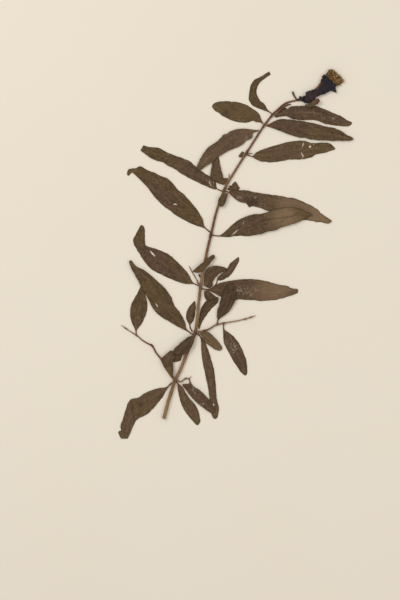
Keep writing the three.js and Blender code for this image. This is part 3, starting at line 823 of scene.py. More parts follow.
@dataclass(frozen=True)
class BarkFinish:
    """Thin dry bark, red-brown with a paler worn side and long fibrous streaks."""

    brown: Colour = srgb(124, 90, 54)
    red: Colour = srgb(104, 58, 34)
    dark: Colour = srgb(60, 40, 22)
    light: Colour = srgb(154, 122, 82)
    streak_share: float = 0.5
    worn_share: float = 0.45
    pale_share: float = 0.55
    knot_share: float = 0.55
    fibre_relief: float = 1.4
    skin: Skin = Skin(0.56, 0.2, 0.35, 1500.0, 0.4, 0.6, 0.00015)

    def make(self) -> bpy.types.Material:
        """Builds the material from its colours and the marks on each limb."""
        made, graph, surface, place = start_material("dry bark")
        knot, ruddy, pale, _ = marks_of(graph)
        lean = graph.plus(graph.times(ruddy, 0.7), 0.22)
        colours = (self.brown, self.red, self.dark, self.light)
        colour, _ = aged(graph, place, colours, lean, 0.35)
        fibre = graph.noise(graph.stretched(map_of(graph), 9.0, 300.0), 5.0, 4, 0.65)
        streak = graph.step(fibre, 0.5, 0.72)
        colour = graph.tint(colour, self.dark, streak, self.streak_share)
        worn = graph.step(fibre, 0.5, 0.28)
        colour = graph.tint(colour, self.light, worn, self.worn_share)
        colour = graph.tint(colour, self.light, pale, self.pale_share)
        colour = graph.tint(colour, self.dark, knot, self.knot_share)
        relief = graph.times(fibre, self.fibre_relief)
        self.skin.dress(graph, surface, place, colour, fibre, relief)
        return made


@dataclass(frozen=True)
class CalyxFinish:
    """A thick leathery calyx dried nearly black, with a rusty edge by its mouth and painted shade inside
    the mouth.
    """

    black: Colour = srgb(22, 20, 28)
    purple: Colour = srgb(52, 31, 33)
    dark: Colour = srgb(12, 10, 14)
    light: Colour = srgb(46, 40, 50)
    rust: Colour = srgb(132, 84, 40)
    # how dark the painted shade inside the mouth is
    mouth_shade_share: float = 0.6
    skin: Skin = Skin(0.55, 0.2, 0.28, 900.0, 0.8, 0.7, 0.0002)

    def make(self) -> bpy.types.Material:
        """Builds the material from its colours and the marks on the calyx."""
        made, graph, surface, place = start_material("dry calyx")
        rusty, fold, foot, _ = marks_of(graph)
        lean = graph.sum("MULTIPLY_ADD", foot, 0.9, 0.1)
        colours = (self.black, self.purple, self.dark, self.light)
        colour, blotch = aged(graph, place, colours, lean, 0.5)
        patchy = graph.step(graph.noise(place, 500, 3), 0.32, 0.6)
        colour = graph.tint(colour, self.rust, rusty, patchy)
        # painted shade: the second mark (fold) covers the inside of the mouth and darkens it
        colour = graph.tint(colour, self.dark, fold, self.mouth_shade_share)
        self.skin.dress(graph, surface, place, colour, blotch)
        return made


@dataclass(frozen=True)
class PetalFinish:
    """Petals and stamens that dried to brown papery crumbs, with painted shade in their hollows and at
    their feet.
    """

    brown: Colour = srgb(130, 95, 54)
    tan: Colour = srgb(164, 128, 78)
    dark: Colour = srgb(62, 40, 20)
    light: Colour = srgb(188, 154, 104)
    fineness: float = 2.2  # how much finer its patches are than other finishes'
    # how dark the painted shade in hollows and at the feet is
    hollow_shade_share: float = 0.85
    anther_share: float = 0.6
    skin: Skin = Skin(0.82, 0.1, 0.2, 1800.0, 0.5, 0.5, 0.0001)

    def make(self) -> bpy.types.Material:
        """Builds the material from its colours and the marks on the petals."""
        made, graph, surface, place = start_material("dry petal")
        deep, anther, _, _ = marks_of(graph)
        finer = graph.stretched(place, self.fineness, self.fineness, self.fineness)
        colours = (self.brown, self.tan, self.dark, self.light)
        colour, blotch = aged(graph, finer, colours, 0.4, 0.6)
        # painted shade: the first mark, deep, darkens the hollows and the feet
        colour = graph.tint(colour, self.dark, deep, self.hollow_shade_share)
        colour = graph.tint(colour, self.light, anther, self.anther_share)
        self.skin.dress(graph, surface, place, colour, blotch)
        return made


@dataclass(frozen=True)
class BudFinish:
    """A small closed bud, olive at its foot and red-brown at its end."""

    olive: Colour = srgb(84, 72, 34)
    red: Colour = srgb(100, 64, 32)
    dark: Colour = srgb(48, 36, 24)
    light: Colour = srgb(122, 98, 62)
    seam_share: float = 0.7
    skin: Skin = Skin(0.58, 0.15, 0.4, 1400.0, 0.5, 0.6, 0.00015)

    def make(self) -> bpy.types.Material:
        """Builds the material from its colours and the marks on the bud."""
        made, graph, surface, place = start_material("dry bud")
        ripe, seam, _, _ = marks_of(graph)
        lean = graph.sum("MULTIPLY_ADD", ripe, 1.6, -0.3)
        colours = (self.olive, self.red, self.dark, self.light)
        colour, blotch = aged(graph, place, colours, lean, 0.35)
        colour = graph.tint(colour, self.dark, seam, self.seam_share)
        self.skin.dress(graph, surface, place, colour, blotch)
        return made


# --- Leaves -----------------------------------------------------------


@dataclass(frozen=True)
class Patch:
    """A round place on a surface that fades out at its reach."""

    x: float
    y: float
    reach: float

    def at(self, places: np.ndarray) -> np.ndarray:
        """How strongly it shows at places given as rows of right and up."""
        return hump(np.hypot(places[:, 0] - self.x, places[:, 1] - self.y), self.reach)


def shown(group: tuple[Patch, ...], places: np.ndarray) -> np.ndarray:
    """How strongly a group of patches shows at each place."""
    return sum((patch.at(places) for patch in group), np.zeros(len(places)))


Outline = tuple[tuple[float, float], ...]

SHEET = 0.24  # how thick a leaf is away from its midrib
REST = 0.14  # how far the middle of a blade is held up by its midrib
STALK_WIDTH = 0.9
STALK_HEIGHT = 0.5
ROUNDNESS = 0.82  # of a stalk's upper side
SLENDERNESS = 95.0
MIN_THICKNESS = 0.5
NARROWEST = 0.05  # how narrow half a blade may get
TIP_LENGTH = 0.9  # the stretch over which a tip is rounded off
GROOVE = 0.07  # how deep the midrib is sunk in the upper face
RIDGE = 0.13  # how far the midrib stands out below
LONG_WAVE = 17.0
SHORT_WAVE = 6.0
PUCKER = 0.05  # how high a blade puckers between its side veins
PUCKER_SPACING = 4.6
CREASE_DEPTH = 0.16
CREASE_REACH = 0.5
# how far the darkening along a crease reaches
CREASE_DARK_REACH = 0.45
MARGIN_REACH = 2.0  # how far in from its edge the margin's colour shows
FADING = 0.38  # how much paler a faded place is
TIP_GREEN = 0.35  # how much less umber the tip is
SEEDS = 97  # how many seeds the finish can tell apart
STEP = 0.52  # the side of one face of a blade
RIB_SAMPLES = 121
RIB_EASE = 0.06  # the share of a leaf's length over which its midrib is evened out
CUTTER_HEIGHT = 12.0


@dataclass
class LeafBlade:
    """One pressed leaf, told by its two margins from the end of its stalk to its tip."""

    name: str
    heights: tuple[float, ...]  # of its underside, at even steps of its length
    left: Outline
    right: Outline
    stalk: Outline = ()
    lean: float = 0.5  # 0 is olive, 1 is umber
    shade: float = 0.5  # 0 is pale, 1 is dark
    ragged: float = 1.0  # how uneven the margin is
    blunt: bool = False  # whether the tip is broken off square
    cuts: tuple[Outline, ...] = ()
    slits: tuple[tuple[float, Outline], ...] = ()  # a width and the line that it follows
    creases: tuple[Outline, ...] = ()
    worn: tuple[Patch, ...] = ()
    scorched: tuple[Patch, ...] = ()
    faded: tuple[Patch, ...] = ()

    def __post_init__(self) -> None:
        """Runs the margins and the midrib, and seeds the unevenness."""
        feet = np.array([*reaching(self.stalk), np.mean([self.left[0], self.right[0]], 0)])
        run = np.diff(feet, axis=0)
        steps = np.linalg.norm(run, axis=1)
        beside = np.stack([-run[:, 1], run[:, 0]], -1) / np.maximum(steps, 1e-9)[:, None]
        beside = beside * STALK_WIDTH / 2
        self.margins = {
            Side.LEFT: Course((*map(tuple, feet[:-1] + beside), *self.left)),
            Side.RIGHT: Course((*map(tuple, feet[:-1] - beside), *self.right)),
        }
        self.length = max(margin.length for margin in self.margins.values())
        self.seed = sum(ord(letter) * (k + 3) for k, letter in enumerate(self.name))
        self.thickness = max(MIN_THICKNESS, self.length / SLENDERNESS)
        self.stalk_share = float(steps.sum()) / self.length
        self.shares = np.linspace(0, 1, RIB_SAMPLES)
        left, right = (margin.at(self.shares) for margin in self.margins.values())
        self.width = float(np.linalg.norm(left - right, axis=1).max())
        ease = RIB_EASE * np.minimum(1, 10 * np.minimum(self.shares, 1 - self.shares)) + 1e-3
        weights = hump(self.shares[:, None] - self.shares[None, :], ease[:, None])
        self.ribs = weights @ ((left + right) / 2) / weights.sum(1, keepdims=True)

    def rib(self, share: np.ndarray) -> np.ndarray:
        """The places of the midrib at shares of the length."""
        return np.stack([np.interp(share, self.shares, axis) for axis in self.ribs.T], -1)

    def reach(self, share: np.ndarray, side: Side) -> tuple[np.ndarray, np.ndarray]:
        """The way from the midrib to one margin.

        Args:
            share: Shares of the length.
            side: The side of the blade.

        Returns:
            The directions, and how far it is in millimetres.
        """
        way = self.margins[side].at(share) - self.rib(share)
        far = np.maximum(np.linalg.norm(way, axis=-1), NARROWEST)
        way = way / far[:, None]
        along, seed = share * self.length, self.seed + side.value
        uneven = 0.1 * Wobble(seed, 7.0)(along) + 0.07 * Wobble(seed + 7, 2.6)(along)
        blade = eased(self.stalk_share, self.stalk_share + 0.08, share)
        far = far + self.ragged * uneven * blade * np.minimum(far / 3, 1)
        if not self.blunt:
            left = np.clip((1 - share) * self.length / TIP_LENGTH, 0, 1)
            far = far * np.sqrt(1 - (1 - left) ** 2)
        return way, np.maximum(far, NARROWEST)

    def base(self, share: np.ndarray) -> np.ndarray:
        """The height of the underside at shares of the length."""
        heights = np.array(self.heights)
        place = share * (len(heights) - 1)
        before = np.minimum(place.astype(int), len(heights) - 2)
        rise = heights[before + 1] - heights[before]
        return heights[before] + rise * eased(0, 1, place - before)

    def levels(
        self, share: np.ndarray, across: np.ndarray, offset: np.ndarray
    ) -> tuple[np.ndarray, np.ndarray]:
        """The heights of the two faces.

        Args:
            share: Shares of the length.
            across: Shares across, from -1 to 1.
            offset: The same across, in millimetres.

        Returns:
            The height of the upper face and of the lower face.
        """
        along = share * self.length
        spare = min(max(self.thickness - SHEET - REST, 0.16), 0.42)
        wave = 0.5 + 0.35 * Wobble(self.seed + 11, LONG_WAVE)(along, offset)
        wave = wave + 0.2 * Wobble(self.seed + 13, SHORT_WAVE)(along, offset)
        slanted = along - Effects.VEIN_SLANT * np.abs(offset)
        pucker = 0.5 + 0.5 * np.cos(2 * math.pi * slanted / PUCKER_SPACING)
        body = REST * (1 - across**2) + spare * np.clip(wave, 0, 1) * (0.35 + 0.65 * across**2)
        body = body + PUCKER * pucker * np.clip(1 - across**2, 0, 1) * min(self.width / 10, 1)
        rib_half = (0.42 - 0.26 * share) * min(self.width / 11, 1.1)
        rib = hump(offset, np.maximum(rib_half, 0.12))
        base = self.base(share)
        top = base + body + SHEET - GROOVE * rib
        under = base + np.maximum(body - RIDGE * rib, 0)
        stalk = 1 - eased(self.stalk_share * 0.9, self.stalk_share * 0.9 + 0.07, share)
        stalk = stalk * (self.stalk_share > 0)
        round_top = base + STALK_HEIGHT * np.sqrt(np.clip(1 - ROUNDNESS * across**2, 0, 1))
        return top + (round_top - top) * stalk, under + (base - under) * stalk

    def shares_along(self, u: np.ndarray) -> np.ndarray:
        """Even steps made closer near the foot and the tip."""
        return 0.5 * u + 0.5 * (0.5 - 0.5 * np.cos(math.pi * u))

    def build(self, finish: bpy.types.Material) -> None:
        """Makes the leaf.

        Args:
            finish: The leaf's material.
        """
        steps = int(np.clip(round(self.length / STEP), 18, 150))
        rows = 2 * int(np.clip(round(self.width / STEP / 2), 3, 15))
        piece, shares = shaped_grid("piece_" + self.name, steps, rows, self.flat_place)
        share = self.shares_along(shares[:, 0])
        across = shares[:, 1]
        offset = self.offset(share, across)
        lay_map(piece, np.stack([share * self.length, offset], -1))
        top, under = self.levels(share, across, offset)
        for line in self.creases:
            top = top - CREASE_DEPTH * self.near(line, corners_of(piece), CREASE_REACH)
        count = len(piece.data.vertices)
        apply(piece, "SOLIDIFY", thickness=SHEET * MM, offset=-1.0)
        places = corners_of(piece)
        places[:count, 2] = top * MM
        places[count:2 * count] = places[:count]
        places[count:2 * count, 2] = under * MM
        set_corners(piece, places)
        for outline in [*self.cuts, *(ribbon(width, line) for width, line in self.slits)]:
            self.cut(piece, outline)
        self.mark(piece)
        smooth(piece, 55)
        settle(piece, finish, "dry_leaf", self.name)

    def offset(self, share: np.ndarray, across: np.ndarray) -> np.ndarray:
        """The distance from the midrib, in millimetres, at shares along and across."""
        left, right = self.reach(share, Side.LEFT)[1], self.reach(share, Side.RIGHT)[1]
        return across * np.where(across > 0, left, right)

    def flat_place(self, u: np.ndarray, across: np.ndarray) -> np.ndarray:
        """The place on the flattened blade at even steps u and shares across."""
        share = self.shares_along(u)
        (left, _), (right, _) = self.reach(share, Side.LEFT), self.reach(share, Side.RIGHT)
        way = np.where(across[:, None] > 0, left, right)
        return self.rib(share) + way * np.abs(self.offset(share, across))[:, None]

    def near(self, line: Outline, places: np.ndarray, reach: float) -> np.ndarray:
        """How near places in the row frame are to a line.

        Args:
            line: The line's points, in millimetres.
            places: Places in metres.
            reach: The half-width of the line's effect, in millimetres.

        Returns:
            1 on the line and nearly 0 beyond it.
        """
        spots = from_cut_end(places)
        best = np.full(len(spots), np.inf)
        for start, stop in zip(line[:-1], line[1:]):
            start, run = np.array(start), np.array(stop) - np.array(start)
            share = np.clip((spots - start) @ run / (run @ run), 0, 1)
            best = np.minimum(best, np.linalg.norm(spots - start - share[:, None] * run, axis=1))
        return hump(best, reach)

    def cut(self, piece: bpy.types.Object, outline: Outline) -> None:
        """Cuts an outline right through the leaf.

        Args:
            piece: The leaf.
            outline: The points round the cut, in millimetres.
        """
        cutter = fresh(
            bpy.ops.mesh.primitive_circle_add, vertices=len(outline), fill_type="NGON")
        points = np.array([(x, y, -CUTTER_HEIGHT / 2) for x, y in outline])
        set_corners(cutter, in_row(points))
        rise = {"value": (0, 0, CUTTER_HEIGHT * MM)}
        in_edit_mode(
            cutter,
            lambda: bpy.ops.mesh.extrude_region_move(TRANSFORM_OT_translate=rise),
            lambda: bpy.ops.mesh.select_all(action="SELECT"),
            lambda: bpy.ops.mesh.normals_make_consistent(inside=False),
        )
        apply(piece, "BOOLEAN", operation="DIFFERENCE", solver="EXACT", object=cutter)
        bpy.data.objects.remove(cutter)

    def mark(self, piece: bpy.types.Object) -> None:
        """Writes the marks that the finish reads, and the cast of the whole leaf.

        Args:
            piece: The leaf.
        """
        spread = read_map(piece)
        places = face_corners(piece)
        spots = from_cut_end(places)
        share = np.clip(spread[:, 0] / self.length, 0, 1)
        reach = np.abs(self.offset(share, np.where(spread[:, 1] > 0, 1.0, -1.0)))
        rib = hump(spread[:, 1], 0.42 - 0.22 * share)
        edge = eased(MARGIN_REACH, 0.0, reach - np.abs(spread[:, 1]))
        foot = 1 - eased(self.stalk_share, self.stalk_share + 0.05, share)
        scorch_and_crease_dark = shown(self.scorched, spots)
        # creases are darkened along their lines as well, in the scorch colour
        for line in self.creases:
            scorch_and_crease_dark = scorch_and_crease_dark + self.near(line, places, CREASE_DARK_REACH)
        write_marks(piece, rib, edge, shown(self.worn, spots), scorch_and_crease_dark)
        lean = self.lean - TIP_GREEN * eased(0.72, 1.0, share)
        shade = self.shade - FADING * shown(self.faded, spots)
        write_marks(piece, lean, shade, self.seed % SEEDS / SEEDS, foot, name="cast")


def ribbon(width: float, line: Outline) -> Outline:
    """The outline of a slit that narrows to both ends of a line.

    Args:
        width: How wide the slit is at its middle.
        line: The points that it follows.

    Returns:
        The points round it.
    """
    points = np.array(line, float)
    heading = np.gradient(points, axis=0)
    side = np.stack([-heading[:, 1], heading[:, 0]], -1)
    side /= np.linalg.norm(side, axis=1, keepdims=True)
    share = np.linspace(-1, 1, len(points))
    half = width / 2 * (0.25 + 0.75 * np.sqrt(1 - share**2))
    left, right = points + side * half[:, None], points - side * half[:, None]
    return tuple(map(tuple, np.vstack([left, right[::-1]]).tolist()))


def worn_hole(x: float, y: float, length: float, width: float, turn: float) -> Outline:
    """The uneven outline of a small worn hole.

    Args:
        x: Right.
        y: Up.
        length: Its length.
        width: Its width.
        turn: How far it is turned to the left, in degrees.

    Returns:
        The points round it.
    """
    around = np.linspace(0, 2 * math.pi, 14, endpoint=False)
    reach = 0.5 * (1 + 0.14 * Wobble(int(abs(x * y)), 2.0)(around))
    along, across = length * reach * np.cos(around), width * reach * np.sin(around)
    lean = math.radians(turn)
    right = x + along * math.cos(lean) - across * math.sin(lean)
    up = y + along * math.sin(lean) + across * math.cos(lean)
    return tuple(zip(right.tolist(), up.tolist()))


def patches(reach: float, *places: tuple[float, float]) -> tuple[Patch, ...]:
    """Patches of one reach at several places."""
    return tuple(Patch(x, y, reach) for x, y in places)


LEAVES: tuple[LeafBlade, ...] = (
    # at the lowest node
    LeafBlade(
        "leaf_a_long", (0.6, 0, 0, 0, 0),
        ((2.2, 23), (-1.3, 16.9), (-11.6, 4.8), (-15.4, 2.2), (-19.4, 0.5), (-21.6, -1.2), (-23, -3.5),
        (-28.3, -15.5)),
        ((2.1, 24.7), (-0.8, 23.7), (-3.9, 23.5), (-15, 19.6), (-19.8, 16.3), (-26.4, 14.2),
        (-32.3, -1.2), (-33.9, -7), (-33.3, -8.9), (-35.5, -10.3), (-33.5, -15.5)),
        stalk=((5.2, 27.3), (3.6, 25.6)), lean=0.5, shade=0.42, blunt=True, creases=(((-25.4, 12.7),
        (-24.3, 5), (-23.1, -2.7)),), scorched=patches(1.6, (-17.3, 11.2), (-18.9, 10.4))),
    LeafBlade(
        "leaf_a_left", (2, 2, 2),
        ((4.7, 33.3), (2.1, 36.3), (-2.5, 45), (-2.3, 46.3), (5.2, 52.9)),
        ((6.4, 32.4), (6.8, 35.8), (6.7, 44.3), (7.5, 47.4), (7.2, 50.1), (6.2, 52)),
        stalk=((6.2, 31),), lean=0.6),
    LeafBlade(
        "leaf_a_fold", (0, 0),
        ((4.2, 49.7), (7.3, 50.3), (12.7, 50.1)),
        ((4.2, 44.6), (6.4, 43.4), (11, 44), (12.4, 45), (13.6, 47.9)),
        lean=0.3),
    LeafBlade(
        "leaf_a_down", (0.7, 0, 0, 0),
        ((11.7, 26.3), (13.7, 24.6), (17.7, 17.7), (24.9, 8.5), (27.4, -0.4), (27.3, -3.1), (25.9, -5.2)),
        ((10.1, 24.6), (11, 18.1), (13.1, 10.8), (16.8, 3.9), (24.5, -5)),
        stalk=((9.6, 27.7), (10.4, 27.1)), lean=0.5, shade=0.42),
    LeafBlade(
        "leaf_a_side", (0.5, 1, 1.05, 1.05, 1.05),
        ((20.4, 27.6), (21.5, 25.9), (23.5, 24.1), (26.6, 22.3), (32, 17.3), (35, 13.9), (37.7, 9.6),
        (39.3, 5.8)),
        ((19.2, 27), (13.9, 26.4), (17.3, 20.9), (22.1, 15), (29.6, 8.5), (36, 4.1)),
        stalk=((19.1, 30.2), (19.4, 28.9)), lean=0.85, worn=patches(2, (21.9, 23.1), (24.6, 18.9),
        (29.6, 11.2))),
    # at the second node
    LeafBlade(
        "leaf_b_low", (2.9, 2.9, 2.85),
        ((23.4, 62.8), (22.6, 58.9), (19.6, 52.9), (15.8, 49.7), (13.7, 48.7), (10.8, 49)),
        ((20.8, 63.8), (17.9, 62.6), (6.2, 51.8), (6.9, 50.6)),
        stalk=((22.7, 64.1),), lean=0.6, shade=0.8),
    LeafBlade(
        "leaf_b_slim", (0.1, 0, 0, 0),
        ((29.3, 61.8), (33.1, 54.3), (37.5, 39.7), (38.3, 35.8), (39.4, 26.6), (40.3, 14.6), (41.9, 7.3),
        (41, 1.8), (39.8, -0.3)),
        ((27.8, 61.2), (28.9, 46.6), (34.3, 18.9), (34.9, 10.4), (36.8, 1.5), (38.1, -0.4)),
        stalk=((25, 65.1), (27.2, 63.4)), lean=0.55, shade=0.45, worn=patches(1.6, (39.7, 2.7)),
        cuts=(worn_hole(37.6, 10, 3.6, 1.5, 84),)),
    LeafBlade(
        "leaf_b_round", (1.3, 1.15, 0.5),
        ((29, 66.1), (33.5, 66.6), (44.1, 55.6), (44.5, 54), (43.6, 52.7)),
        ((28.3, 63.8), (31.3, 58.6), (33.1, 57.1), (35, 56.1), (38.9, 53.3), (42.4, 52.1)),
        stalk=((25.6, 65.1), (27.5, 65.3)), lean=0.5, shade=0.3),
    LeafBlade(
        "leaf_b_left", (0.8, 0.2, 0.3, 0.8, 1, 1),
        ((16.1, 67.8), (9.2, 71.4), (-5.4, 80.5), (-7.9, 83.3), (-14.6, 95.9), (-17.7, 99.9),
        (-19.2, 104), (-25.2, 115.1), (-27.2, 120.5), (-26.9, 121.8)),
        ((17, 69.1), (15.5, 75.1), (11.6, 81.9), (8.1, 86.4), (4.6, 94.3), (2.3, 97.9), (-0.8, 101.4),
        (-11.9, 111.4), (-15.4, 114.1), (-22.1, 117.6), (-25.6, 122)),
        stalk=((21.3, 65.1), (19.3, 66.4), (17.8, 67.5)), lean=0.5, slits=((0.8, ((-7.1, 88.9),
        (-5.9, 87), (-4.8, 85.5))),), cuts=(worn_hole(-6, 87.2, 4.2, 1.1, 119),)),
    LeafBlade(
        "leaf_b_up", (0.5, 0, 0, 0),
        ((19, 72.1), (16.7, 77.2), (17.2, 82.8), (18.1, 84.6), (22.9, 90.6)),
        ((20.1, 72.3), (22.3, 75.5), (23.7, 82), (24.1, 85.1), (23.6, 90.3)),
        stalk=((21.1, 67.4), (19.9, 69.8)), lean=0.5),
    LeafBlade(
        "leaf_b_right", (0.4, 0, 0, 0),
        ((26.2, 72.3), (27.1, 80.5), (29, 86.6), (32.6, 90.9), (34.6, 92.3), (37, 93.1), (40.1, 93.3)),
        ((27.8, 71.5), (29.1, 74.6), (31.2, 77.9), (36.2, 84.6), (40.6, 88.9), (41.9, 92.2)),
        stalk=((26.6, 69.1),), lean=0.45, shade=0.75),
    # on the side twigs
    LeafBlade(
        "leaf_left_twig", (0.3, 0, 0, 0),
        ((-22.8, 68.9), (-25.8, 75.5), (-26.4, 82.8), (-25.8, 86.6), (-24.9, 89.2), (-19.8, 98.6),
        (-18.4, 102.4)),
        ((-20.9, 68.7), (-17.3, 73.5), (-13.2, 85.1), (-14.4, 94.3), (-15.3, 98.2), (-17.2, 102.3)),
        stalk=((-21.7, 65.4), (-21.9, 67.1)), lean=0.55, worn=patches(1, (-20.9, 77.8))),
    LeafBlade(
        "leaf_right_twig_down", (0.3, 0, 0, 0),
        ((46.3, 68.4), (51.6, 64.7), (58, 56.7), (62.2, 47.1), (63, 44.3), (63.7, 38.1), (63.6, 35),
        (63, 33.3)),
        ((45.1, 67.8), (45.4, 61.2), (46, 57.9), (57.8, 37), (61.5, 33.1)),
        stalk=((45.6, 72.4), (45.4, 69.5)), lean=0.8, shade=0.56, worn=patches(2, (48.9, 59.3),
        (52.7, 57.4), (53.1, 54.3), (55.1, 54.7), (52.6, 51.2))),
    LeafBlade(
        "leaf_right_twig_up", (0.6, 1.1, 1.9, 1.9),
        ((40.7, 76.3), (40.3, 78.3), (41, 84.7), (42.2, 87.1), (42.7, 90.1), (46.2, 98.9), (47.7, 101.7),
        (49.7, 103.6)),
        ((41.9, 76.2), (46.6, 79.8), (50.8, 84), (52.6, 86.6), (54.7, 91.6), (55, 98.9), (54.4, 101.6),
        (52.9, 103.4)),
        stalk=((40.5, 73.7), (40.9, 74.8)), lean=0.9, shade=0.8),
    # at the middle node
    LeafBlade(
        "leaf_c_under", (1, 1, 0.9),
        ((33, 98.2), (35, 97.3), (39.7, 93.9), (42, 93.1)),
        ((30.6, 98.3), (30.6, 94.9), (31.3, 92.8), (32.6, 90.9), (40.9, 92.5)),
        lean=0.6, shade=0.75),
    LeafBlade(
        "leaf_c_left", (0.6, 0, 0, 0, 0),
        ((20.9, 103.6), (16.6, 103.7), (11.9, 104.7), (0, 109.7), (-10.8, 115.7), (-18.9, 126.3),
        (-24.1, 136.7), (-22.3, 141.3), (-18.4, 148.7)),
        ((21.3, 105.6), (18.5, 111), (15, 115.3), (10, 120.5), (4.2, 125.7), (-3.5, 129.5),
        (-14.4, 133.4), (-15, 135.1), (-15.1, 142.8), (-15.6, 146.7), (-16.5, 148.4), (-17.3, 148.9)),
        stalk=((26.1, 102.4), (24.3, 103.2), (22.4, 104)), lean=0.6, slits=((0.5, ((-11.6, 129.4),
        (-9.6, 126.8), (-7.3, 124.7))),), cuts=(worn_hole(-9.2, 126.9, 5.7, 1.1, 132),)),
    LeafBlade(
        "leaf_c_right", (0.9, 0.6, 0, 0, 0),
        ((34.3, 99.6), (42.7, 104.3), (54.3, 106.5), (65.8, 107.4), (77.4, 105.9), (88.9, 102.9),
        (94.9, 102), (97, 100.7), (99.7, 99.9), (102.9, 99.7)),
        ((33.8, 98.2), (36.2, 97.6), (42.4, 94.3), (51.2, 91.2), (58.1, 91.8), (62, 91.2), (69.7, 91.2),
        (72.8, 90.6), (76.6, 90.6), (85.1, 91.4), (95.1, 93.9), (103, 96.9)),
        stalk=((29, 99.9), (31.3, 99.4)), lean=0.66, shade=0.54, faded=patches(12, (78.2, 98.9),
        (92.8, 98.9)), worn=patches(2.2, (56.6, 98.9), (59.7, 96.6), (62.8, 99.7), (65.8, 96.6),
        (69.3, 99.3))),
    LeafBlade(
        "leaf_c_broad", (1, 0.9, 0.85),
        ((30.3, 102.3), (30.6, 109.7), (31.1, 112.5), (32, 114.3), (36.6, 117.2), (39.7, 117.6),
        (46, 116.5), (48.4, 115.3)),
        ((31.7, 101.6), (33.1, 100.7), (34.5, 100.5), (36.2, 101.3), (37.3, 102.6), (37, 104.6),
        (37.7, 106.3), (41.6, 110.9), (48.9, 114.5)),
        lean=0.5, shade=0.65),
    LeafBlade(
        "leaf_c_pointed", (0, 0, 0),
        ((40.3, 107), (41, 108.6), (42.6, 110.3), (47, 113.7), (48.7, 115.9), (50, 118.7), (51.6, 120.4),
        (56.9, 124.4)),
        ((41, 106.1), (43.5, 106.3), (46, 107.2), (47.3, 108.3), (48.9, 108.7), (50.8, 110.5),
        (52.6, 112.8), (57.1, 120.9), (57.6, 123.9)),
        stalk=((29, 100), (31.5, 99.5), (35.4, 99.8), (38.5, 101.9), (40.2, 104.6)), lean=0.55,
        worn=patches(1, (45.8, 111.1))),
    LeafBlade(
        "leaf_c_cross", (1.3, 2.5, 2.6, 2.5, 1.6),
        ((21.6, 113.5), (32.7, 122.9), (37.7, 126.6)),
        ((22, 112.7), (25.6, 112.3), (28.5, 112.7), (39.4, 124.4)),
        lean=0.5),
    LeafBlade(
        "leaf_c_sliver", (0.3, 0.3),
        ((27.3, 107.6), (26.7, 109.3), (25.6, 110.3)),
        ((27.6, 109), (27.5, 110.6), (26.8, 111.4)),
        lean=0.5),
    # at the fourth node
    LeafBlade(
        "leaf_d_left", (0.5, 0, 0, 0, 0),
        ((29.6, 146.9), (20.4, 150.2), (8.1, 157), (4.2, 160.2), (0, 162.9), (-8.9, 172.2),
        (-13.5, 178.3), (-23.9, 188.6), (-25.2, 189.3), (-27.6, 186.6)),
        ((30.7, 148.2), (29.3, 153.6), (27.7, 156.7), (23.5, 162.9), (15.4, 172.1), (13.9, 173.6),
        (11.6, 175), (3.9, 183.6), (1.5, 185.3), (-3.5, 186.9), (-8.2, 189.6), (-11.3, 190.4),
        (-18.5, 194.2), (-20, 193.9), (-21.9, 192.7), (-24.3, 192.6), (-27.8, 191.5), (-29, 187.5)),
        stalk=((34.5, 143.9), (33, 145.2), (31.6, 146.5)), lean=0.4, creases=(((9.6, 165.9),
        (12.7, 163.2), (16.6, 161.3)),), scorched=patches(2, (7.3, 166.7)),
        cuts=(worn_hole(8.3, 165, 3.4, 1, 2),)),
    LeafBlade(
        "leaf_d_right", (0.5, 0, 1.2, 1.2, 1.2),
        ((42.9, 141.2), (55.1, 151.5), (60.8, 154.7), (70.1, 157.4), (73.5, 157.3), (90.5, 162.2),
        (95.1, 162.7), (99.7, 162.4), (104.3, 161.3), (113.2, 157.6)),
        ((42.4, 140.1), (48.9, 139.8), (58.1, 140.8), (62.8, 140.4), (74.3, 142.1), (79.7, 143.8),
        (85.9, 145.1), (88.9, 146.7), (102, 150.8), (113.6, 156.4)),
        stalk=((37.2, 141.1), (40, 140.7)), lean=0.52, faded=patches(9, (96.6, 153.6), (88.9, 156.7)),
        slits=((0.9, ((61.6, 153.6), (60.8, 150.9), (59.7, 148.2))), (0.95, ((57.4, 145.9), (54.3, 143.4),
        (51.2, 140.3)))), creases=(((67.4, 147.8), (75.1, 152.1), (81.2, 153.2), (91.2, 154.4),
        (102, 156.5)),)),
    # at the fifth node
    LeafBlade(
        "leaf_e_right", (1.2, 0.2, 0, 0, 0),
        ((50.6, 175.3), (64.7, 175.5), (66.2, 174.9), (80.5, 172.5), (92, 170.9), (95.1, 170),
        (98.9, 169.8), (116.5, 161.9), (120.9, 157.8), (129.2, 152.1)),
        ((50.3, 172.7), (57.4, 167), (62.8, 165.5), (65.3, 162.6), (66.8, 163.2), (69.7, 163.2),
        (82.8, 158.6), (88.9, 155.9), (96.6, 153.9), (114.3, 152.1), (116.9, 151.2), (119.7, 151.3),
        (125.9, 150.1), (127.8, 150.8)),
        stalk=((47.3, 174.8), (49.2, 174.3)), lean=0.7, shade=0.47, faded=patches(11, (113.6, 159),
        (122.8, 153.6), (95.1, 165.2)), worn=patches(2.4, (68.5, 170.7), (57.8, 170.2), (75.8, 162.5)),
        scorched=patches(3.4, (65.8, 166.3), (68.9, 167.9))),
    LeafBlade(
        "leaf_e_down", (2.35, 2.35),
        ((49.2, 173.3), (46.7, 165.2), (45.7, 163.8), (44.1, 162.8)),
        ((45.3, 173.5), (41.3, 168.2), (41.3, 164.5), (42.6, 162.9)),
        lean=0.4),
    LeafBlade(
        "leaf_e_folded", (0.3, 0.2),
        ((48.4, 177.2), (49.4, 177.5), (49.8, 178.8), (50.7, 179.6), (51.8, 179), (52.1, 180.4),
        (54.7, 182.6)),
        ((48.7, 175.9), (51.2, 175.5), (56.2, 175.8), (58.1, 177.2)),
        lean=0.35, blunt=True),
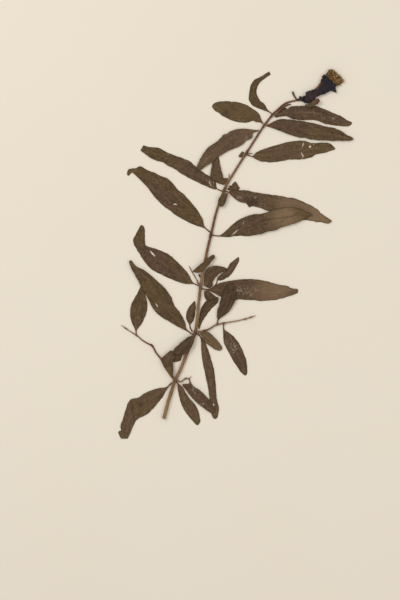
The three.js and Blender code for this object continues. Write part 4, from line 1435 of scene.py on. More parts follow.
    LeafBlade(
        "leaf_e_long", (0.2, 0.1, 0, 0, 0),
        ((38.6, 176.4), (19.6, 184.8), (13.5, 188.3), (7.7, 192.3), (1.9, 195), (-0.8, 197),
        (-6.5, 198.7), (-11.9, 201.4), (-18.5, 206.4)),
        ((40.1, 178.3), (39, 183), (37.3, 185), (31.2, 188.6), (23.9, 193.8), (20, 197.7), (5.8, 203.3),
        (0.8, 205.5), (-3.6, 208.1), (-11.9, 209.1), (-16.3, 210.2)),
        stalk=((44.1, 175.2), (42, 176), (40.3, 176.8)), lean=0.55, blunt=True, slits=((0.9,
        ((35.3, 185.2), (34.6, 181.7), (36.6, 177.9))), (0.7, ((37.8, 182.9), (37.7, 181.7),
        (37.2, 180.6))))),
    LeafBlade(
        "leaf_e_up", (1.2, 1.2, 1.2, 0.4, 0),
        ((46.3, 179.7), (41.6, 181), (35.8, 185.5), (36.4, 194.8), (38.1, 202.5)),
        ((49.4, 185.2), (45.2, 185.1), (45, 187.1), (43.4, 191.7), (41.7, 201), (40.4, 202.7)),
        lean=0.65),
    # at the sixth node
    LeafBlade(
        "leaf_f_right", (0.7, 0, 0, 0),
        ((67.5, 202.1), (71.2, 205.1), (73.5, 206.3), (85.1, 210.1), (98.2, 213.4), (107.4, 213.9),
        (112.8, 212.1), (119.7, 212.4), (125.9, 212.1), (127.8, 211.6), (131.5, 208.1)),
        ((67.2, 201.4), (73.2, 198.4), (83.5, 197.4), (96.6, 199.4), (104.3, 199.4), (110.5, 200.4),
        (114, 201.5), (115.9, 203), (124.4, 204.9), (131.5, 207.3)),
        stalk=((63.8, 202.8), (65.5, 202.3)), lean=0.5, shade=0.43, slits=((0.85, ((107.6, 213.7),
        (106.6, 210.6), (105.3, 207.5))), (0.9, ((105.4, 206), (105.6, 203.7), (106.9, 201.9),
        (105.3, 199.5)))), cuts=(worn_hole(112, 209.3, 2, 1.9, 0), worn_hole(114.7, 211.1, 0.9, 0.8, 0),)),
    LeafBlade(
        "leaf_f_small", (0.3, 0.2),
        ((60.1, 202), (59.1, 201.1), (57.8, 201)),
        ((61.3, 205.1), (60, 205.6), (56.7, 201.8)),
        lean=0.3),
    # at the two uppermost nodes
    LeafBlade(
        "leaf_g_right", (0.6, 0.9, 1, 1, 0.9),
        ((80.6, 226.8), (88.2, 230.2), (91.2, 230.4), (104.3, 229.1), (116.7, 226.8), (123.6, 224.7),
        (130.5, 223.5), (136.7, 220.8), (139.4, 218.8), (145.1, 216.1)),
        ((80.6, 224.4), (101.3, 216.9), (109, 215.8), (112, 214.8), (140.5, 213.7), (143.6, 214),
        (145.4, 214.9)),
        stalk=((78.5, 225.3),), lean=0.7),
    LeafBlade(
        "leaf_g_left", (0.6, 0, 0, 0),
        ((74.3, 227.7), (70.1, 228.5), (68.8, 229.3), (65.1, 228.2), (62, 227.8), (55.1, 228.5),
        (49.7, 230.5), (44.3, 233.2), (42.4, 234.8), (39.7, 236.4), (36.7, 239.5)),
        ((74.6, 230), (72.8, 234.6), (71.6, 235.8), (64.3, 240.8), (59.1, 242.8), (53.5, 244),
        (52, 243.7), (49.7, 244.3), (42.4, 243.9), (39.7, 243.4), (38.1, 242.6), (36.5, 240.6)),
        stalk=((75.8, 226.8),), lean=0.25, shade=0.43, scorched=patches(3, (47.4, 235.2))),
    LeafBlade(
        "leaf_g_low", (0.8, 0.7, 0.7, 1, 1.1),
        ((70.9, 220.8), (68.1, 219.5), (67.3, 216), (62.8, 213.7), (59.7, 210.6), (48.1, 205.4),
        (41.2, 201), (34.5, 195.8), (26.8, 190.7)),
        ((71.2, 222), (62.8, 223), (55.8, 222.7), (50.4, 220.8), (47.7, 219.1), (45.8, 218.5),
        (40.8, 213.4), (33.7, 208.6), (28, 200.7), (24.4, 193)),
        stalk=((72.5, 221.9),), lean=0.65, shade=0.4, worn=patches(1.2, (58.9, 219.1), (63.1, 216)),
        cuts=(worn_hole(31.7, 200.4, 1.6, 1.3, 20),)),
    LeafBlade(
        "leaf_h_right", (0.3, 0.1, 0, 0, 0),
        ((85.2, 233.8), (89.7, 237.9), (92, 239.1), (93.6, 239.2), (94.3, 238.3), (97.4, 240.1),
        (108.2, 240.7), (115.9, 240.6), (124.4, 237.7), (128.2, 235.8), (135.5, 233), (140.9, 229.5),
        (144.4, 228.2)),
        ((84.5, 232.4), (85.5, 231.8), (93.2, 232.8), (98.2, 230.8), (102, 230.1), (106.6, 229.7),
        (113.6, 229.8), (118.2, 229.1), (122.8, 227.2), (131.3, 225.6), (142.1, 225.2), (144.4, 226.8)),
        lean=0.7, worn=patches(1.5, (95.9, 235.6), (115.9, 234.7), (122.4, 231.4), (129.4, 231))),
    LeafBlade(
        "leaf_h_curled", (0.6, 0, 0, 0, 0),
        ((79.2, 236.2), (68.9, 240.3), (66.8, 241.9), (65.8, 243.7), (65.1, 245.1), (64.8, 247.2),
        (66.9, 257.6), (68, 259.3), (69.8, 261.2), (72.4, 262.2), (80.5, 267.2)),
        ((79.7, 237.4), (77, 241.9), (73.2, 245.2), (71.1, 249.6), (70.9, 252.2), (71.2, 254.5),
        (72.8, 257.9), (77.8, 262.2), (81.7, 264.8)),
        stalk=((82.5, 234.7), (80.9, 235.9)), lean=0.4, blunt=True),
)


# --- The stem and the twigs -------------------------------------------


@dataclass
class Limb:
    """A tapering woody limb with ridged bark, swollen nodes and the scars of fallen leaves."""

    name: str
    radii: tuple[float, float]
    stations: tuple[Station, ...]
    lift: float = 0.0
    taper: float = 1.0
    tip: TipShape = TipShape.THORN
    sides: int = 18
    step: float = 0.8
    ridges: int = 5
    relief: float = 0.07
    knots: tuple[Patch, ...] = ()  # swellings with scars
    swelling: float = 0.0
    ruddy: tuple[Patch, ...] = ()
    pale: tuple[Patch, ...] = ()
    green: bool = False  # whether it still wears the green skin of a bud
    slot: str = "bark"
    course: Course = field(init=False)

    def __post_init__(self) -> None:
        """Runs the limb's course."""
        self.course = Course(self.stations if self.tip is TipShape.CUT else reaching(self.stations))

    def radius(self, share: np.ndarray, places: np.ndarray) -> np.ndarray:
        """The radius at shares of the length.

        Args:
            share: Shares of the length.
            places: The middle of the limb there.

        Returns:
            The radius in millimetres.
        """
        low, high = self.radii
        plain = low + (high - low) * share**self.taper
        for knot in self.knots:
            plain = plain + self.swelling * knot.at(places)
        end = (1 - share) * self.course.length
        if self.tip is TipShape.THORN:
            plain = plain * (0.3 + 0.7 * eased(0, 4 * high + 1, end))
        if self.tip is TipShape.ROUND:
            plain = plain * np.sqrt(1 - (1 - np.clip(end / high, 0.02, 1)) ** 2)
        return plain

    def skin(self, share: np.ndarray, turn: np.ndarray, radius: np.ndarray) -> np.ndarray:
        """How far the bark stands out beyond the plain radius.

        Args:
            share: Shares of the length.
            turn: Angles round the limb, 0 on its right.
            radius: The plain radius there.

        Returns:
            The height of the bark in millimetres.
        """
        seed = sum(map(ord, self.name))
        along = share * self.course.length
        drift = 0.9 * Wobble(seed, 60.0)(along)
        ridge = np.abs(np.cos(self.ridges / 2 * (turn + drift))) - 0.6
        fibre = Wobble(seed + 3, 5.0).around(along * 0.5, turn, 5.5)
        lump = Wobble(seed + 5, 7.0).around(along, turn, 2.5)
        scale = self.relief * radius / self.radii[0]
        return scale * (ridge + 0.45 * fibre + 0.5 * lump)

    def ring_place(self, u: np.ndarray, across: np.ndarray) -> np.ndarray:
        """The place on the bark at shares along, u, and round, across."""
        turn = (across + 1) * math.pi
        middle = self.course.at(u)
        radius = self.radius(u, middle)
        left = self.course.left(u)
        out = radius + self.skin(u, turn, radius)
        for knot in self.knots:
            near = knot.at(middle)
            scar = np.exp(-(((near - 0.55) / 0.16) ** 2)) * np.abs(np.cos(turn)) ** 3
            out = out + self.swelling * (0.5 * scar - 0.2 * near * np.abs(np.sin(turn)))
        place = middle * (1, 1, 0) - left * (np.cos(turn) * out)[:, None]
        place[:, 2] = np.maximum(self.lift + radius + np.sin(turn) * out, self.lift)
        return place

    def build(self, finish: bpy.types.Material) -> None:
        """Makes the limb in a finish."""
        settle(self.shape("piece_" + self.name), finish, self.slot, self.name)

    def shape(self, name: str) -> bpy.types.Object:
        """The limb's closed mesh, mapped and marked, with no finish yet.

        Args:
            name: The piece's name.

        Returns:
            The piece.
        """
        steps = max(8, round(self.course.length / self.step))
        piece, shares = shaped_grid(name, steps, self.sides, self.ring_place)
        around = math.pi * self.radii[0]
        lay_map(piece, shares * (self.course.length, around))
        close_tube(piece)
        if self.tip is TipShape.CUT:
            self.cut_end(piece)
        self.mark(piece)
        smooth(piece, 60)
        return piece

    def cut_end(self, piece: bpy.types.Object) -> None:
        """Gives the flat end at the start of the limb its rim of bark and its sunken pith."""
        foot = self.course.at(np.array([0.0])) * (1, 1, 0) + (0, 0, self.lift + self.radii[0])
        start = in_row(foot)[0]
        in_edit_mode(
            piece,
            lambda: bpy.ops.mesh.select_mode(type="FACE"),
            lambda: bpy.ops.mesh.select_all(action="DESELECT"),
        )
        for face in piece.data.polygons:
            close = np.linalg.norm(np.array(face.center) - start) < self.radii[0] * 0.5 * MM
            face.select = bool(close and face.loop_total == self.sides)
        bpy.ops.object.mode_set(mode="EDIT")
        bpy.ops.mesh.inset(thickness=0.28 * MM)
        bpy.ops.mesh.inset(thickness=0.1 * MM, depth=-0.14 * MM)
        bpy.ops.mesh.inset(thickness=0.45 * MM, depth=0.05 * MM)
        bpy.ops.object.mode_set(mode="OBJECT")

    def mark(self, piece: bpy.types.Object) -> None:
        """Writes the marks that the finish reads: knots, ruddy parts and pale parts.

        Args:
            piece: The limb.
        """
        spots = from_cut_end(face_corners(piece))
        groups = (self.knots, self.ruddy, self.pale)
        write_marks(piece, *(shown(group, spots) for group in groups))


STEM_COURSE = (
    (-0.5, 0), (2.9, 13.1), (5.7, 21.9), (8.2, 29.6), (12, 37.1), (16.8, 48.9), (23.5, 65.8),
    (26.1, 87.4), (27.8, 102), (31.3, 122), (35.7, 141.3), (40.4, 160.5), (46, 175.9),
    (52.4, 187.5), (63.1, 204.4), (77.1, 226), (83.2, 233.7), (88.2, 238.7), (93.6, 242.8),
    (102, 245),
)
LEAF_NODES = (
    (8.2, 29.6), (23.5, 65.8), (27.8, 102), (35.7, 141.3), (46, 175.9), (63.1, 204.4),
    (77.1, 226), (83.2, 233.7),
)


STEM = Limb(
    "main_stem", (1.38, 0.66), STEM_COURSE, taper=0.8, tip=TipShape.CUT, sides=24,
    step=0.7, ridges=6, relief=0.1, knots=patches(2.4, *LEAF_NODES), swelling=0.24,
    ruddy=patches(14, (19, 55), (22, 62), (36, 142), (70, 214), (88, 239)),
    pale=patches(11, (1, 6), (13, 40), (25.5, 78), (29, 110)),
)
TWIGS = (
    Limb("twig_left", (0.85, 0.36), (
        (6.6, 31), (0.4, 39.7), (-2.7, 45.8), (-6.5, 50.8), (-9.8, 56.4), (-12.4, 57.5),
        (-16.6, 60), (-21.2, 63.8), (-26.6, 67.2), (-33.5, 72)),
        knots=patches(1.2, (-9.8, 56.4), (-21.2, 64.4), (-29.3, 69.7)), swelling=0.22,
        ruddy=patches(9, (-3, 46), (-8, 53)), pale=patches(12, (4, 34), (-30, 70))),
    Limb("twig_right", (0.68, 0.3), (
        (25.6, 66.8), (30.4, 67.5), (34.3, 68.9), (40.4, 72.4), (45, 73.3), (55.1, 75.1),
        (62, 76.6), (70.5, 79.3)), lift=0.5,
        knots=patches(1.2, (30.7, 68.1), (41, 72.6), (45.5, 73.4), (62, 77.2), (66.6, 77.5)),
        swelling=0.3, ruddy=patches(6, (35, 69)), pale=patches(14, (50, 74), (68, 78.5))),
    Limb("twig_low", (0.6, 0.25), (
        (10, 29.1), (12.7, 28.4), (15, 30.1), (16.9, 31), (19.1, 31.1), (21, 32.5)), lift=0.5,
        knots=patches(1.0, (16.6, 30.4)), swelling=0.25),
    Limb("thorn_middle", (0.42, 0.24), (
        (26, 103.7), (23.9, 108.6), (21.3, 112.7), (19.9, 115.6), (18.9, 118)), lift=0.4,
        ruddy=patches(8, (21, 112))),
    Limb("thorn_upper", (0.34, 0.2), ((49.7, 186.1), (49.7, 187.5), (50.1, 188.9)),
         lift=0.4, step=0.4, sides=12),
    Limb("stub_upper", (0.36, 0.28), ((64.7, 203.8), (67.8, 204.3)), lift=0.2, step=0.3,
         tip=TipShape.ROUND, sides=12),
    Limb("stub_top", (0.62, 0.76), ((101.3, 246), (99.6, 248.9), (98.6, 251.8)),
         step=0.35, tip=TipShape.ROUND, green=True),
    Limb("spur_top", (0.68, 0.52), (
        (87.2, 236), (89.9, 238.3), (92.7, 240.2), (95.5, 241.5), (97.4, 241.5)), lift=1.5,
        step=0.45, tip=TipShape.ROUND, knots=patches(2, (91, 239), (94, 240.8)), swelling=0.12,
        ruddy=patches(6, (92, 239))),
)


# --- The flower and the bud -------------------------------------------


@dataclass
class Flower:
    """The flower: a leathery calyx with a flared, lobed mouth, and crumpled petals and stamens."""

    stations: tuple[Station, ...] = (
        (108, 246.9, 3.5), (108.6, 246.8, 6.6), (110.3, 246.9, 9.1), (112.5, 248.3, 8.4),
        (115.2, 250, 6.8), (118, 251.3, 6.5), (120, 252.6, 8), (122.7, 254.7, 9.8),
        (124.3, 256.2, 11.3), (126, 257.9, 12.4), (127.4, 259.4, 13),
    )
    thickness: float = 3.4
    flatness: float = 0.7
    rim: float = 0.55  # how thick the wall is at the mouth
    throat: float = 3.2  # how deep the mouth is
    folds: int = 9
    lobe_length: float = 2.1
    lobe_width: float = 3.4
    end_lobes: tuple[tuple[tuple[float, float], tuple[float, float]], ...] = (
        ((122.9, 262), (123.1, 264.7)), ((129.2, 254.3), (132.1, 250.8)),
    )
    rusty: tuple[Patch, ...] = patches(1.3, (116.8, 254.9), (118, 256.6), (119.3, 258.3))
    purple: tuple[Patch, ...] = patches(9, (108, 246), (109, 248))
    petals: int = 15
    stamens: int = 90
    seed: int = 23
    wall_end: float = 0.8  # the share of the calyx's grid that is its outer wall
    lip_end: float = 0.84  # where the lip ends and the throat begins
    throat_share: float = 0.16
    course: Course = field(init=False)

    def __post_init__(self) -> None:
        """Runs the calyx's course, whose third number is its width."""
        self.course = Course(self.stations)
        end = self.course.at(np.array([1.0]))[0]
        self.mouth = np.array([end[0], end[1], self.thickness / 2])
        self.across = self.course.left(np.array([1.0]))[0]
        self.out = np.array([self.across[1], -self.across[0], 0.0])
        self.half = end[2] / 2

    def build(self, skin: bpy.types.Material, petal: bpy.types.Material) -> None:
        """Makes the calyx and what stands out of it.

        Args:
            skin: The calyx's material.
            petal: The petals' material.
        """
        settle(self.calyx(), skin, "calyx", "flower_calyx")
        settle(self.petal_mass(), petal, "dried_petal", "flower_petals")
        settle(self.stamen_mass(), petal, "dried_petal", "flower_petals")

    def wall(self, u: np.ndarray, across: np.ndarray) -> np.ndarray:
        """The place on the calyx at shares along, u, and round, across."""
        turn = (across + 1) * math.pi
        inner = eased(self.wall_end, self.lip_end, u)
        deep = (u - self.lip_end).clip(0) / self.throat_share * self.throat / self.course.length
        share = np.where(u < self.wall_end, u / self.wall_end, 1 - deep)
        place = self.course.at(share)
        width = place[:, 2]
        high = np.minimum(width * self.flatness, self.thickness)
        drift = 0.8 * Wobble(self.seed, 16.0)(share * self.course.length)
        fold = np.abs(np.sin(self.folds / 2 * (turn + drift)))
        crease = (0.1 + 0.28 * share**2) * (1 - fold) ** 2
        lump = 0.16 * Wobble(self.seed + 1, 5.0).around(share * self.course.length, turn, 3.0)
        shrink = crease - lump + self.rim * inner
        wide = np.maximum(width / 2 - shrink, 0.2)
        tall = np.maximum(high / 2 - shrink * 0.8, 0.2)
        left = self.course.left(share)
        flat = place * (1, 1, 0) - left * (np.cos(turn) * wide)[:, None]
        flat[:, 2] = np.clip(self.thickness / 2 + np.sin(turn) * tall, 0, self.thickness)
        return flat

    def lobe(
        self, name: str, foot: np.ndarray, tip: np.ndarray, width: float, rise: float
    ) -> bpy.types.Object:
        """One thick pointed lobe of the mouth.

        Args:
            name: Its name while it is made.
            foot: The middle of its foot.
            tip: Its point.
            width: How wide it is at its foot.
            rise: How far its middle bows upwards.

        Returns:
            The lobe.
        """
        run = tip - foot
        side = np.cross((0.0, 0.0, 1.0), run)
        side /= np.linalg.norm(side)

        def place(u: np.ndarray, across: np.ndarray) -> np.ndarray:
            """The place on the lobe at shares along, u, and across."""
            half = width / 2 * (1 - u**1.5) + 0.08
            bow = rise * np.sin(math.pi * u) * (1 - across**2)
            flat = foot + run * u[:, None] + side * (across * half)[:, None]
            return flat + np.stack([0 * u, 0 * u, bow], -1)

        made, shares = shaped_grid(name, 10, 8, place)
        lay_map(made, shares)
        apply(made, "SOLIDIFY", thickness=0.6 * MM, offset=0.0)
        apply(made, "BEVEL", width=0.15 * MM, segments=2, limit_method="ANGLE")
        return made

    def calyx(self) -> bpy.types.Object:
        """The calyx with its lobes, mapped and marked."""
        body, shares = shaped_grid("piece_flower_calyx", 60, 72, self.wall)
        lay_map(body, shares)
        close_tube(body)
        lobes = []
        for index, ends in enumerate(self.end_lobes):
            foot, tip = (np.array((*end, self.thickness / 2)) for end in ends)
            lobes.append(self.lobe(f"lobe_{index}", foot, tip, 4.0, 0.3))
        for index, share in enumerate((-0.62, 0.02, 0.64) * 2):
            over = 1 if index < 3 else -1
            level = self.thickness / 2 * math.sqrt(1 - share**2) * over
            foot = self.mouth - self.out * 0.9 + self.across * share * self.half + (0, 0, level * 0.6)
            reach = self.lobe_length * (1 - 0.25 * abs(share))
            tip = foot + self.out * reach + self.across * share * 1.4 + (0, 0, 0.1 * over)
            lobes.append(self.lobe(f"lobe_{index + 2}", foot, tip, self.lobe_width, 0.15 * over))
        piece = join([body, *lobes], "piece_flower_calyx")
        self.mark_calyx(piece)
        smooth(piece, 50)
        return piece

    def mark_calyx(self, piece: bpy.types.Object) -> None:
        """Writes the rusty edge and the painted shade inside the mouth.

        Args:
            piece: The calyx.
        """
        places = face_corners(piece) / MM - np.array(CUT_END)
        deep = places - self.mouth
        level = np.abs(deep[:, 2]) / (self.thickness / 2)
        # inside: painted shade over the inside of the mouth, kept as the second mark
        inside = eased(-3.5, 0.5, deep @ self.out) * eased(0.85, 0.55, level)
        inside = inside * eased(self.half * 0.9, self.half * 0.6, np.abs(deep @ self.across))
        write_marks(piece, shown(self.rusty, places), inside, shown(self.purple, places))

    def petal_mass(self) -> bpy.types.Object:
        """The crumpled petals, joined."""
        draw = np.random.default_rng(self.seed)
        made = []
        for index in range(self.petals):
            spot = (index + 0.5) / self.petals * 2 - 1
            made.append(self.petal(f"petal_{index}", spot, draw))
        piece = join(made, "piece_flower_petals")
        smooth(piece, 70)
        return piece

    def petal(self, name: str, spot: float, draw: np.random.Generator) -> bpy.types.Object:
        """One petal, crumpled like dry tissue.

        Args:
            name: Its name while it is made.
            spot: Where it stands along the mouth, from -1 to 1.
            draw: Where its chances come from.

        Returns:
            The petal.
        """
        reach = (6.6 + 2.6 * math.sqrt(1 - 0.7 * spot**2)) * draw.uniform(0.84, 1.04)
        wide = draw.uniform(2.6, 4.0)
        lean = draw.uniform(-0.12, 0.12) + 0.22 * spot
        level = draw.uniform(-0.75, 0.75)
        seed = int(draw.integers(1, 9999))
        foot = self.mouth - self.out * 1.3 + self.across * spot * self.half * 0.66

        def place(u: np.ndarray, across: np.ndarray) -> np.ndarray:
            """The place on the petal at shares along, u, and across."""
            along = u * reach
            half = wide / 2 * (0.35 + 0.65 * np.sin(math.pi * np.clip(u * 0.62 + 0.12, 0, 1)))
            half = half * (1 + 0.16 * Wobble(seed, 2.2)(along, across * 2))
            ruffle = 0.5 * Wobble(seed + 1, 3.4)(along, across * wide)
            ruffle = ruffle + 0.3 * Wobble(seed + 2, 1.5)(along, across * wide)
            frayed = along + 1.1 * u * Wobble(seed + 3, 1.8)(across * 4, seed)
            beside = across * half + lean * along
            flat = foot + self.out * frayed[:, None] + self.across * beside[:, None]
            flat[:, 2] = np.clip(self.thickness / 2 + level * u + ruffle * (0.4 + u), 0.12, 3.25)
            return flat

        piece, shares = shaped_grid(name, 26, 20, place)
        lay_map(piece, shares)
        apply(piece, "SOLIDIFY", thickness=0.12 * MM, offset=0.0)
        spread = read_map(piece)
        # painted shade: darker in the hollows of the ruffle and at the petal's foot, inside the mouth
        petal_hollow_shade = eased(0.1, -0.5, Wobble(seed + 2, 1.5)(spread[:, 0] * reach, spread[:, 1] * wide))
        deep = np.maximum(1 - eased(0.15, 0.4, spread[:, 0]), 0.8 * petal_hollow_shade)
        write_marks(piece, deep, 0 * deep)
        return piece

    def stamen_mass(self) -> bpy.types.Object:
        """The dried stamens: thin curled threads with a small anther each, joined."""
        draw = np.random.default_rng(self.seed + 1)
        thread = fresh(
            bpy.ops.mesh.primitive_cylinder_add, vertices=5, radius=1, depth=1,
            location=(0, 0, 0.5))
        for height in (0.2, 0.4, 0.55, 0.7, 0.85):
            middle = {"plane_co": (0, 0, height), "plane_no": (0, 0, 1)}
            in_edit_mode(thread, lambda: bpy.ops.mesh.bisect(**middle))
        anther = fresh(
            bpy.ops.mesh.primitive_uv_sphere_add, segments=7, ring_count=5, radius=1)
        made = []
        for index in range(self.stamens):
            made.extend(self.stamen(index, thread, anther, draw))
        for pattern in (thread, anther):
            bpy.data.objects.remove(pattern)
        piece = join(made, "piece_flower_stamens")
        smooth(piece, 60)
        return piece

    def stamen(self, index: int, thread: bpy.types.Object, anther: bpy.types.Object,
               draw: np.random.Generator) -> list[bpy.types.Object]:
        """One stamen, copied from the patterns and bent to its own curve.

        Args:
            index: Its number.
            thread: The pattern of its thread.
            anther: The pattern of its anther.
            draw: Where its chances come from.

        Returns:
            Its thread and its anther.
        """
        spot = draw.uniform(-1, 1)
        reach = (6.4 + 2.4 * math.sqrt(1 - 0.75 * spot**2)) * draw.uniform(0.55, 1.06)
        fan = spot * draw.uniform(0.1, 0.34) + draw.uniform(-0.12, 0.12)
        level = draw.uniform(-0.9, 1.25)
        curl = draw.uniform(-0.9, 0.9, 2)
        foot = self.mouth - self.out * 1.2 + self.across * spot * self.half * 0.72

        def bend(share: np.ndarray) -> np.ndarray:
            """The places on the stamen's middle line at shares of its length."""
            along = share * reach
            side = fan * along + curl[0] * share**2
            high = self.thickness / 2 + level * share + 0.35 * curl[1] * np.sin(3.5 * share)
            flat = foot + self.out * (along - 0.25 * abs(curl[0]) * share**3)[:, None]
            flat = flat + self.across * side[:, None]
            flat[:, 2] = np.clip(high, 0.35, 3.05)
            return flat

        made = []
        for kind, pattern in (("thread", thread), ("anther", anther)):
            copy = bpy.data.objects.new(f"{kind}_{index}", pattern.data.copy())
            bpy.context.collection.objects.link(copy)
            own = corners_of(pattern)
            if kind == "thread":
                middle = bend(own[:, 2])
                thin = 0.15 - 0.05 * own[:, 2]
                spread = self.across * (own[:, 0] * thin)[:, None]
                place = middle + spread + np.stack([0 * thin, 0 * thin, own[:, 1] * thin], -1)
            else:
                turn = draw.uniform(0, math.pi)
                size = draw.uniform(0.34, 0.5)
                long, short = own[:, 0] * size * 1.35, own[:, 1] * size * 0.8
                x = math.cos(turn) * long - math.sin(turn) * short
                y = math.sin(turn) * long + math.cos(turn) * short
                place = bend(np.array([1.0])) + np.stack([x, y, own[:, 2] * size * 0.7], -1)
            place[:, 2] = np.maximum(place[:, 2], 0.05)
            set_corners(copy, in_row(place))
            corners = len(copy.data.loops)
            share = own[corner_points(copy), 2] if kind == "thread" else np.ones(corners)
            # the first mark is painted shade at the foot of each thread, inside the mouth; the second
            # marks the anther
            write_marks(copy, 1 - eased(0.2, 0.7, share), np.full(corners, float(kind == "anther")))
            made.append(copy)
        return made


@dataclass
class Bud:
    """The closed bud below the flower, with its ribs and the seams of its lobes."""

    course: Course = field(default_factory=lambda: Course((
        (108.1, 240.9), (111.3, 240.6), (114.5, 242), (117.2, 243.9), (119, 245.3))))
    lift: float = 1.0
    ribs: int = 6
    profile: tuple[tuple[float, float], ...] = (
        (0, 0.8), (0.12, 1.1), (0.3, 1.45), (0.5, 1.7), (0.7, 1.9), (0.86, 1.9), (0.95, 1.5), (1, 0.6),
    )

    def place(self, u: np.ndarray, across: np.ndarray) -> np.ndarray:
        """The place on the bud at shares along, u, and round, across."""
        turn = (across + 1) * math.pi
        marks, radii = zip(*self.profile)
        plain = np.interp(u, marks, radii)
        rib = 1 - 0.16 * (1 - np.abs(np.sin(self.ribs / 2 * turn))) ** 2 * eased(0.2, 0.6, u)
        rib = rib * (1 + 0.05 * Wobble(31, 3.0).around(u * self.course.length, turn, 2.0))
        centre = self.course.at(u)
        flat = centre * (1, 1, 0) - self.course.left(u) * (np.cos(turn) * plain * rib)[:, None]
        top = np.interp(u, (0, 1), (0.9, 1.95))
        flat[:, 2] = self.lift + top + np.sin(turn) * plain * rib * 0.92
        return flat

    def build(self, finish: bpy.types.Material) -> None:
        """Makes the bud.

        Args:
            finish: The bud's material.
        """
        piece, shares = shaped_grid("piece_flower_bud", 44, 36, self.place)
        lay_map(piece, shares * MAP_UNIT)
        close_tube(piece)
        spread = read_map(piece) / MAP_UNIT
        ripe = eased(0.45, 0.72, spread[:, 0])
        turn = (spread[:, 1] + 1) * math.pi
        seam = (1 - np.abs(np.sin(self.ribs / 2 * turn))) ** 4 * eased(0.6, 0.85, spread[:, 0])
        write_marks(piece, ripe, seam)
        smooth(piece, 60)
        settle(piece, finish, "bud", "flower_bud")


@dataclass
class Stalk:
    """The flower's short stalk, with the dark scales that stand on it."""

    scales: tuple[tuple[float, float, float], ...] = (
        (104.6, 247.2, 1.0), (107.1, 247.1, 1.3), (106.2, 245.1, 1.3), (108, 244, 1.25),
        (107.6, 245.9, 1.2),
    )
    limb: Limb = field(default_factory=lambda: Limb(
        "flower_stalk", (0.8, 1.35), ((102.4, 245.1), (104.8, 245.6), (107, 246.3)),
        pale=patches(7, (104.5, 245.5)),
        step=0.3, sides=20, tip=TipShape.ROUND, relief=0.14, slot="calyx"))

    def build(self, finish: bpy.types.Material) -> None:
        """Makes the stalk and its scales.

        Args:
            finish: The stalk's material.
        """
        made = [self.limb.shape("piece_flower_stalk")]
        for index, (x, y, size) in enumerate(self.scales):
            scale = fresh(
                bpy.ops.mesh.primitive_uv_sphere_add, segments=16, ring_count=10, radius=1)
            own = corners_of(scale)
            uneven = 1 + 0.18 * Wobble(index + 5, 2.0)(own[:, 0] * 2, own[:, 1] * 2)
            flat = own * uneven[:, None] * (size, size * 0.85, size * 0.8)
            set_corners(scale, in_row(flat + (x, y, size * 0.95 + 0.1)))
            write_marks(scale, np.zeros(len(scale.data.loops)))
            made.append(scale)
        piece = join(made, "piece_flower_stalk")
        smooth(piece, 60)
        settle(piece, finish, "calyx", "flower_stalk")


# --- The studio -------------------------------------------------------


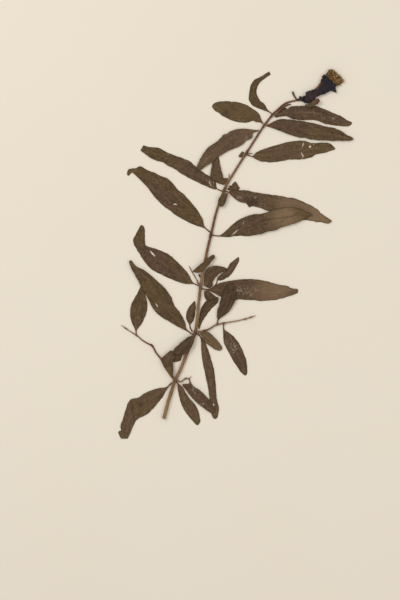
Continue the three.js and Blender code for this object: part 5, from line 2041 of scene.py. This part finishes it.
@dataclass(frozen=True)
class Studio:
    """A plain pale floor, soft light and a camera that looks straight down."""

    look_at: tuple[float, float] = (-0.02787, -0.03515)
    frame_height: float = 0.462
    lens: float = 100.0
    sensor: float = 36.0
    floor_side: float = 3.0
    floor_drop: float = 0.00005
    floor_colour: Colour = srgb(233, 223, 207)
    cloud_colour: Colour = srgb(229, 215, 193)
    fibre_colour: Colour = srgb(216, 203, 184)
    sky_colour: Colour = srgb(244, 243, 240)
    sky_strength: float = 0.73
    lamp_size: float = 0.55
    key_power: float = 6.2
    fill_power: float = 2.6

    def build(self) -> None:
        """Sets up camera, floor and light."""
        self.camera()
        self.floor()
        self.lights()

    def camera(self) -> None:
        """The camera, as high as its lens needs for the frame's height."""
        seen = bpy.data.cameras.new("camera")
        seen.lens = self.lens
        seen.sensor_width = self.sensor
        seen.clip_start = 0.01
        seen.clip_end = 20
        camera = bpy.data.objects.new("camera", seen)
        camera.location = (*self.look_at, self.frame_height * self.lens / self.sensor)
        bpy.context.collection.objects.link(camera)
        bpy.context.scene.camera = camera

    def floor(self) -> None:
        """The plain pale floor."""
        floor = fresh(
            bpy.ops.mesh.primitive_plane_add, size=self.floor_side,
            location=(0, 0, -self.floor_drop))
        floor.name = floor.data.name = "floor"
        made, graph, surface, place = start_material("floor")
        fibre = graph.step(graph.noise(place, 700, 4), 0.3, 0.7)
        cloud = graph.step(graph.noise(place, 9, 2), 0.2, 0.8)
        tone = graph.tint(self.floor_colour, self.cloud_colour, cloud, 0.12)
        tone = graph.tint(tone, self.fibre_colour, fibre, 0.05)
        graph.feed(surface.inputs["Base Color"], tone)
        surface.inputs["Roughness"].default_value = 0.9
        surface.inputs["Specular IOR Level"].default_value = 0.1
        floor.data.materials.append(made)

    def lights(self) -> None:
        """A large soft key light, a weaker fill, and even light from all round."""
        bpy.context.scene.view_settings.view_transform = "Standard"
        world = bpy.data.worlds.new("even light")
        bpy.context.scene.world = world
        world.use_nodes = True
        back = world.node_tree.nodes["Background"]
        back.inputs["Color"].default_value = (*self.sky_colour, 1)
        back.inputs["Strength"].default_value = self.sky_strength
        for name, place, power in (
            ("key", (-0.75, 0.55, 1.05), self.key_power),
            ("fill", (0.85, -0.2, 1.0), self.fill_power),
        ):
            lamp = bpy.data.lights.new(name, "AREA")
            lamp.energy = power
            lamp.size = self.lamp_size
            light = bpy.data.objects.new(name, lamp)
            light.location = place
            aim = np.array(place) - (*self.look_at, 0)
            turn = math.atan2(aim[1], aim[0]) + math.pi / 2
            light.rotation_euler = (math.atan2(math.hypot(aim[0], aim[1]), aim[2]), 0, turn)
            bpy.context.collection.objects.link(light)


# --- The branch -------------------------------------------------------


def main() -> None:
    """Builds the studio and every piece of the branch."""
    logging.basicConfig(level=logging.INFO, format="%(message)s")
    Studio().build()
    Effects().build()
    bark = BarkFinish().make()
    STEM.build(bark)
    young = BudFinish().make()
    for twig in TWIGS:
        twig.build(young if twig.green else bark)
    leaf = LeafFinish().make()
    for blade in LEAVES:
        blade.build(leaf)
    skin = CalyxFinish().make()
    Stalk().build(skin)
    Flower().build(skin, PetalFinish().make())
    Bud().build(young)


if __name__ == "__main__":
    main()
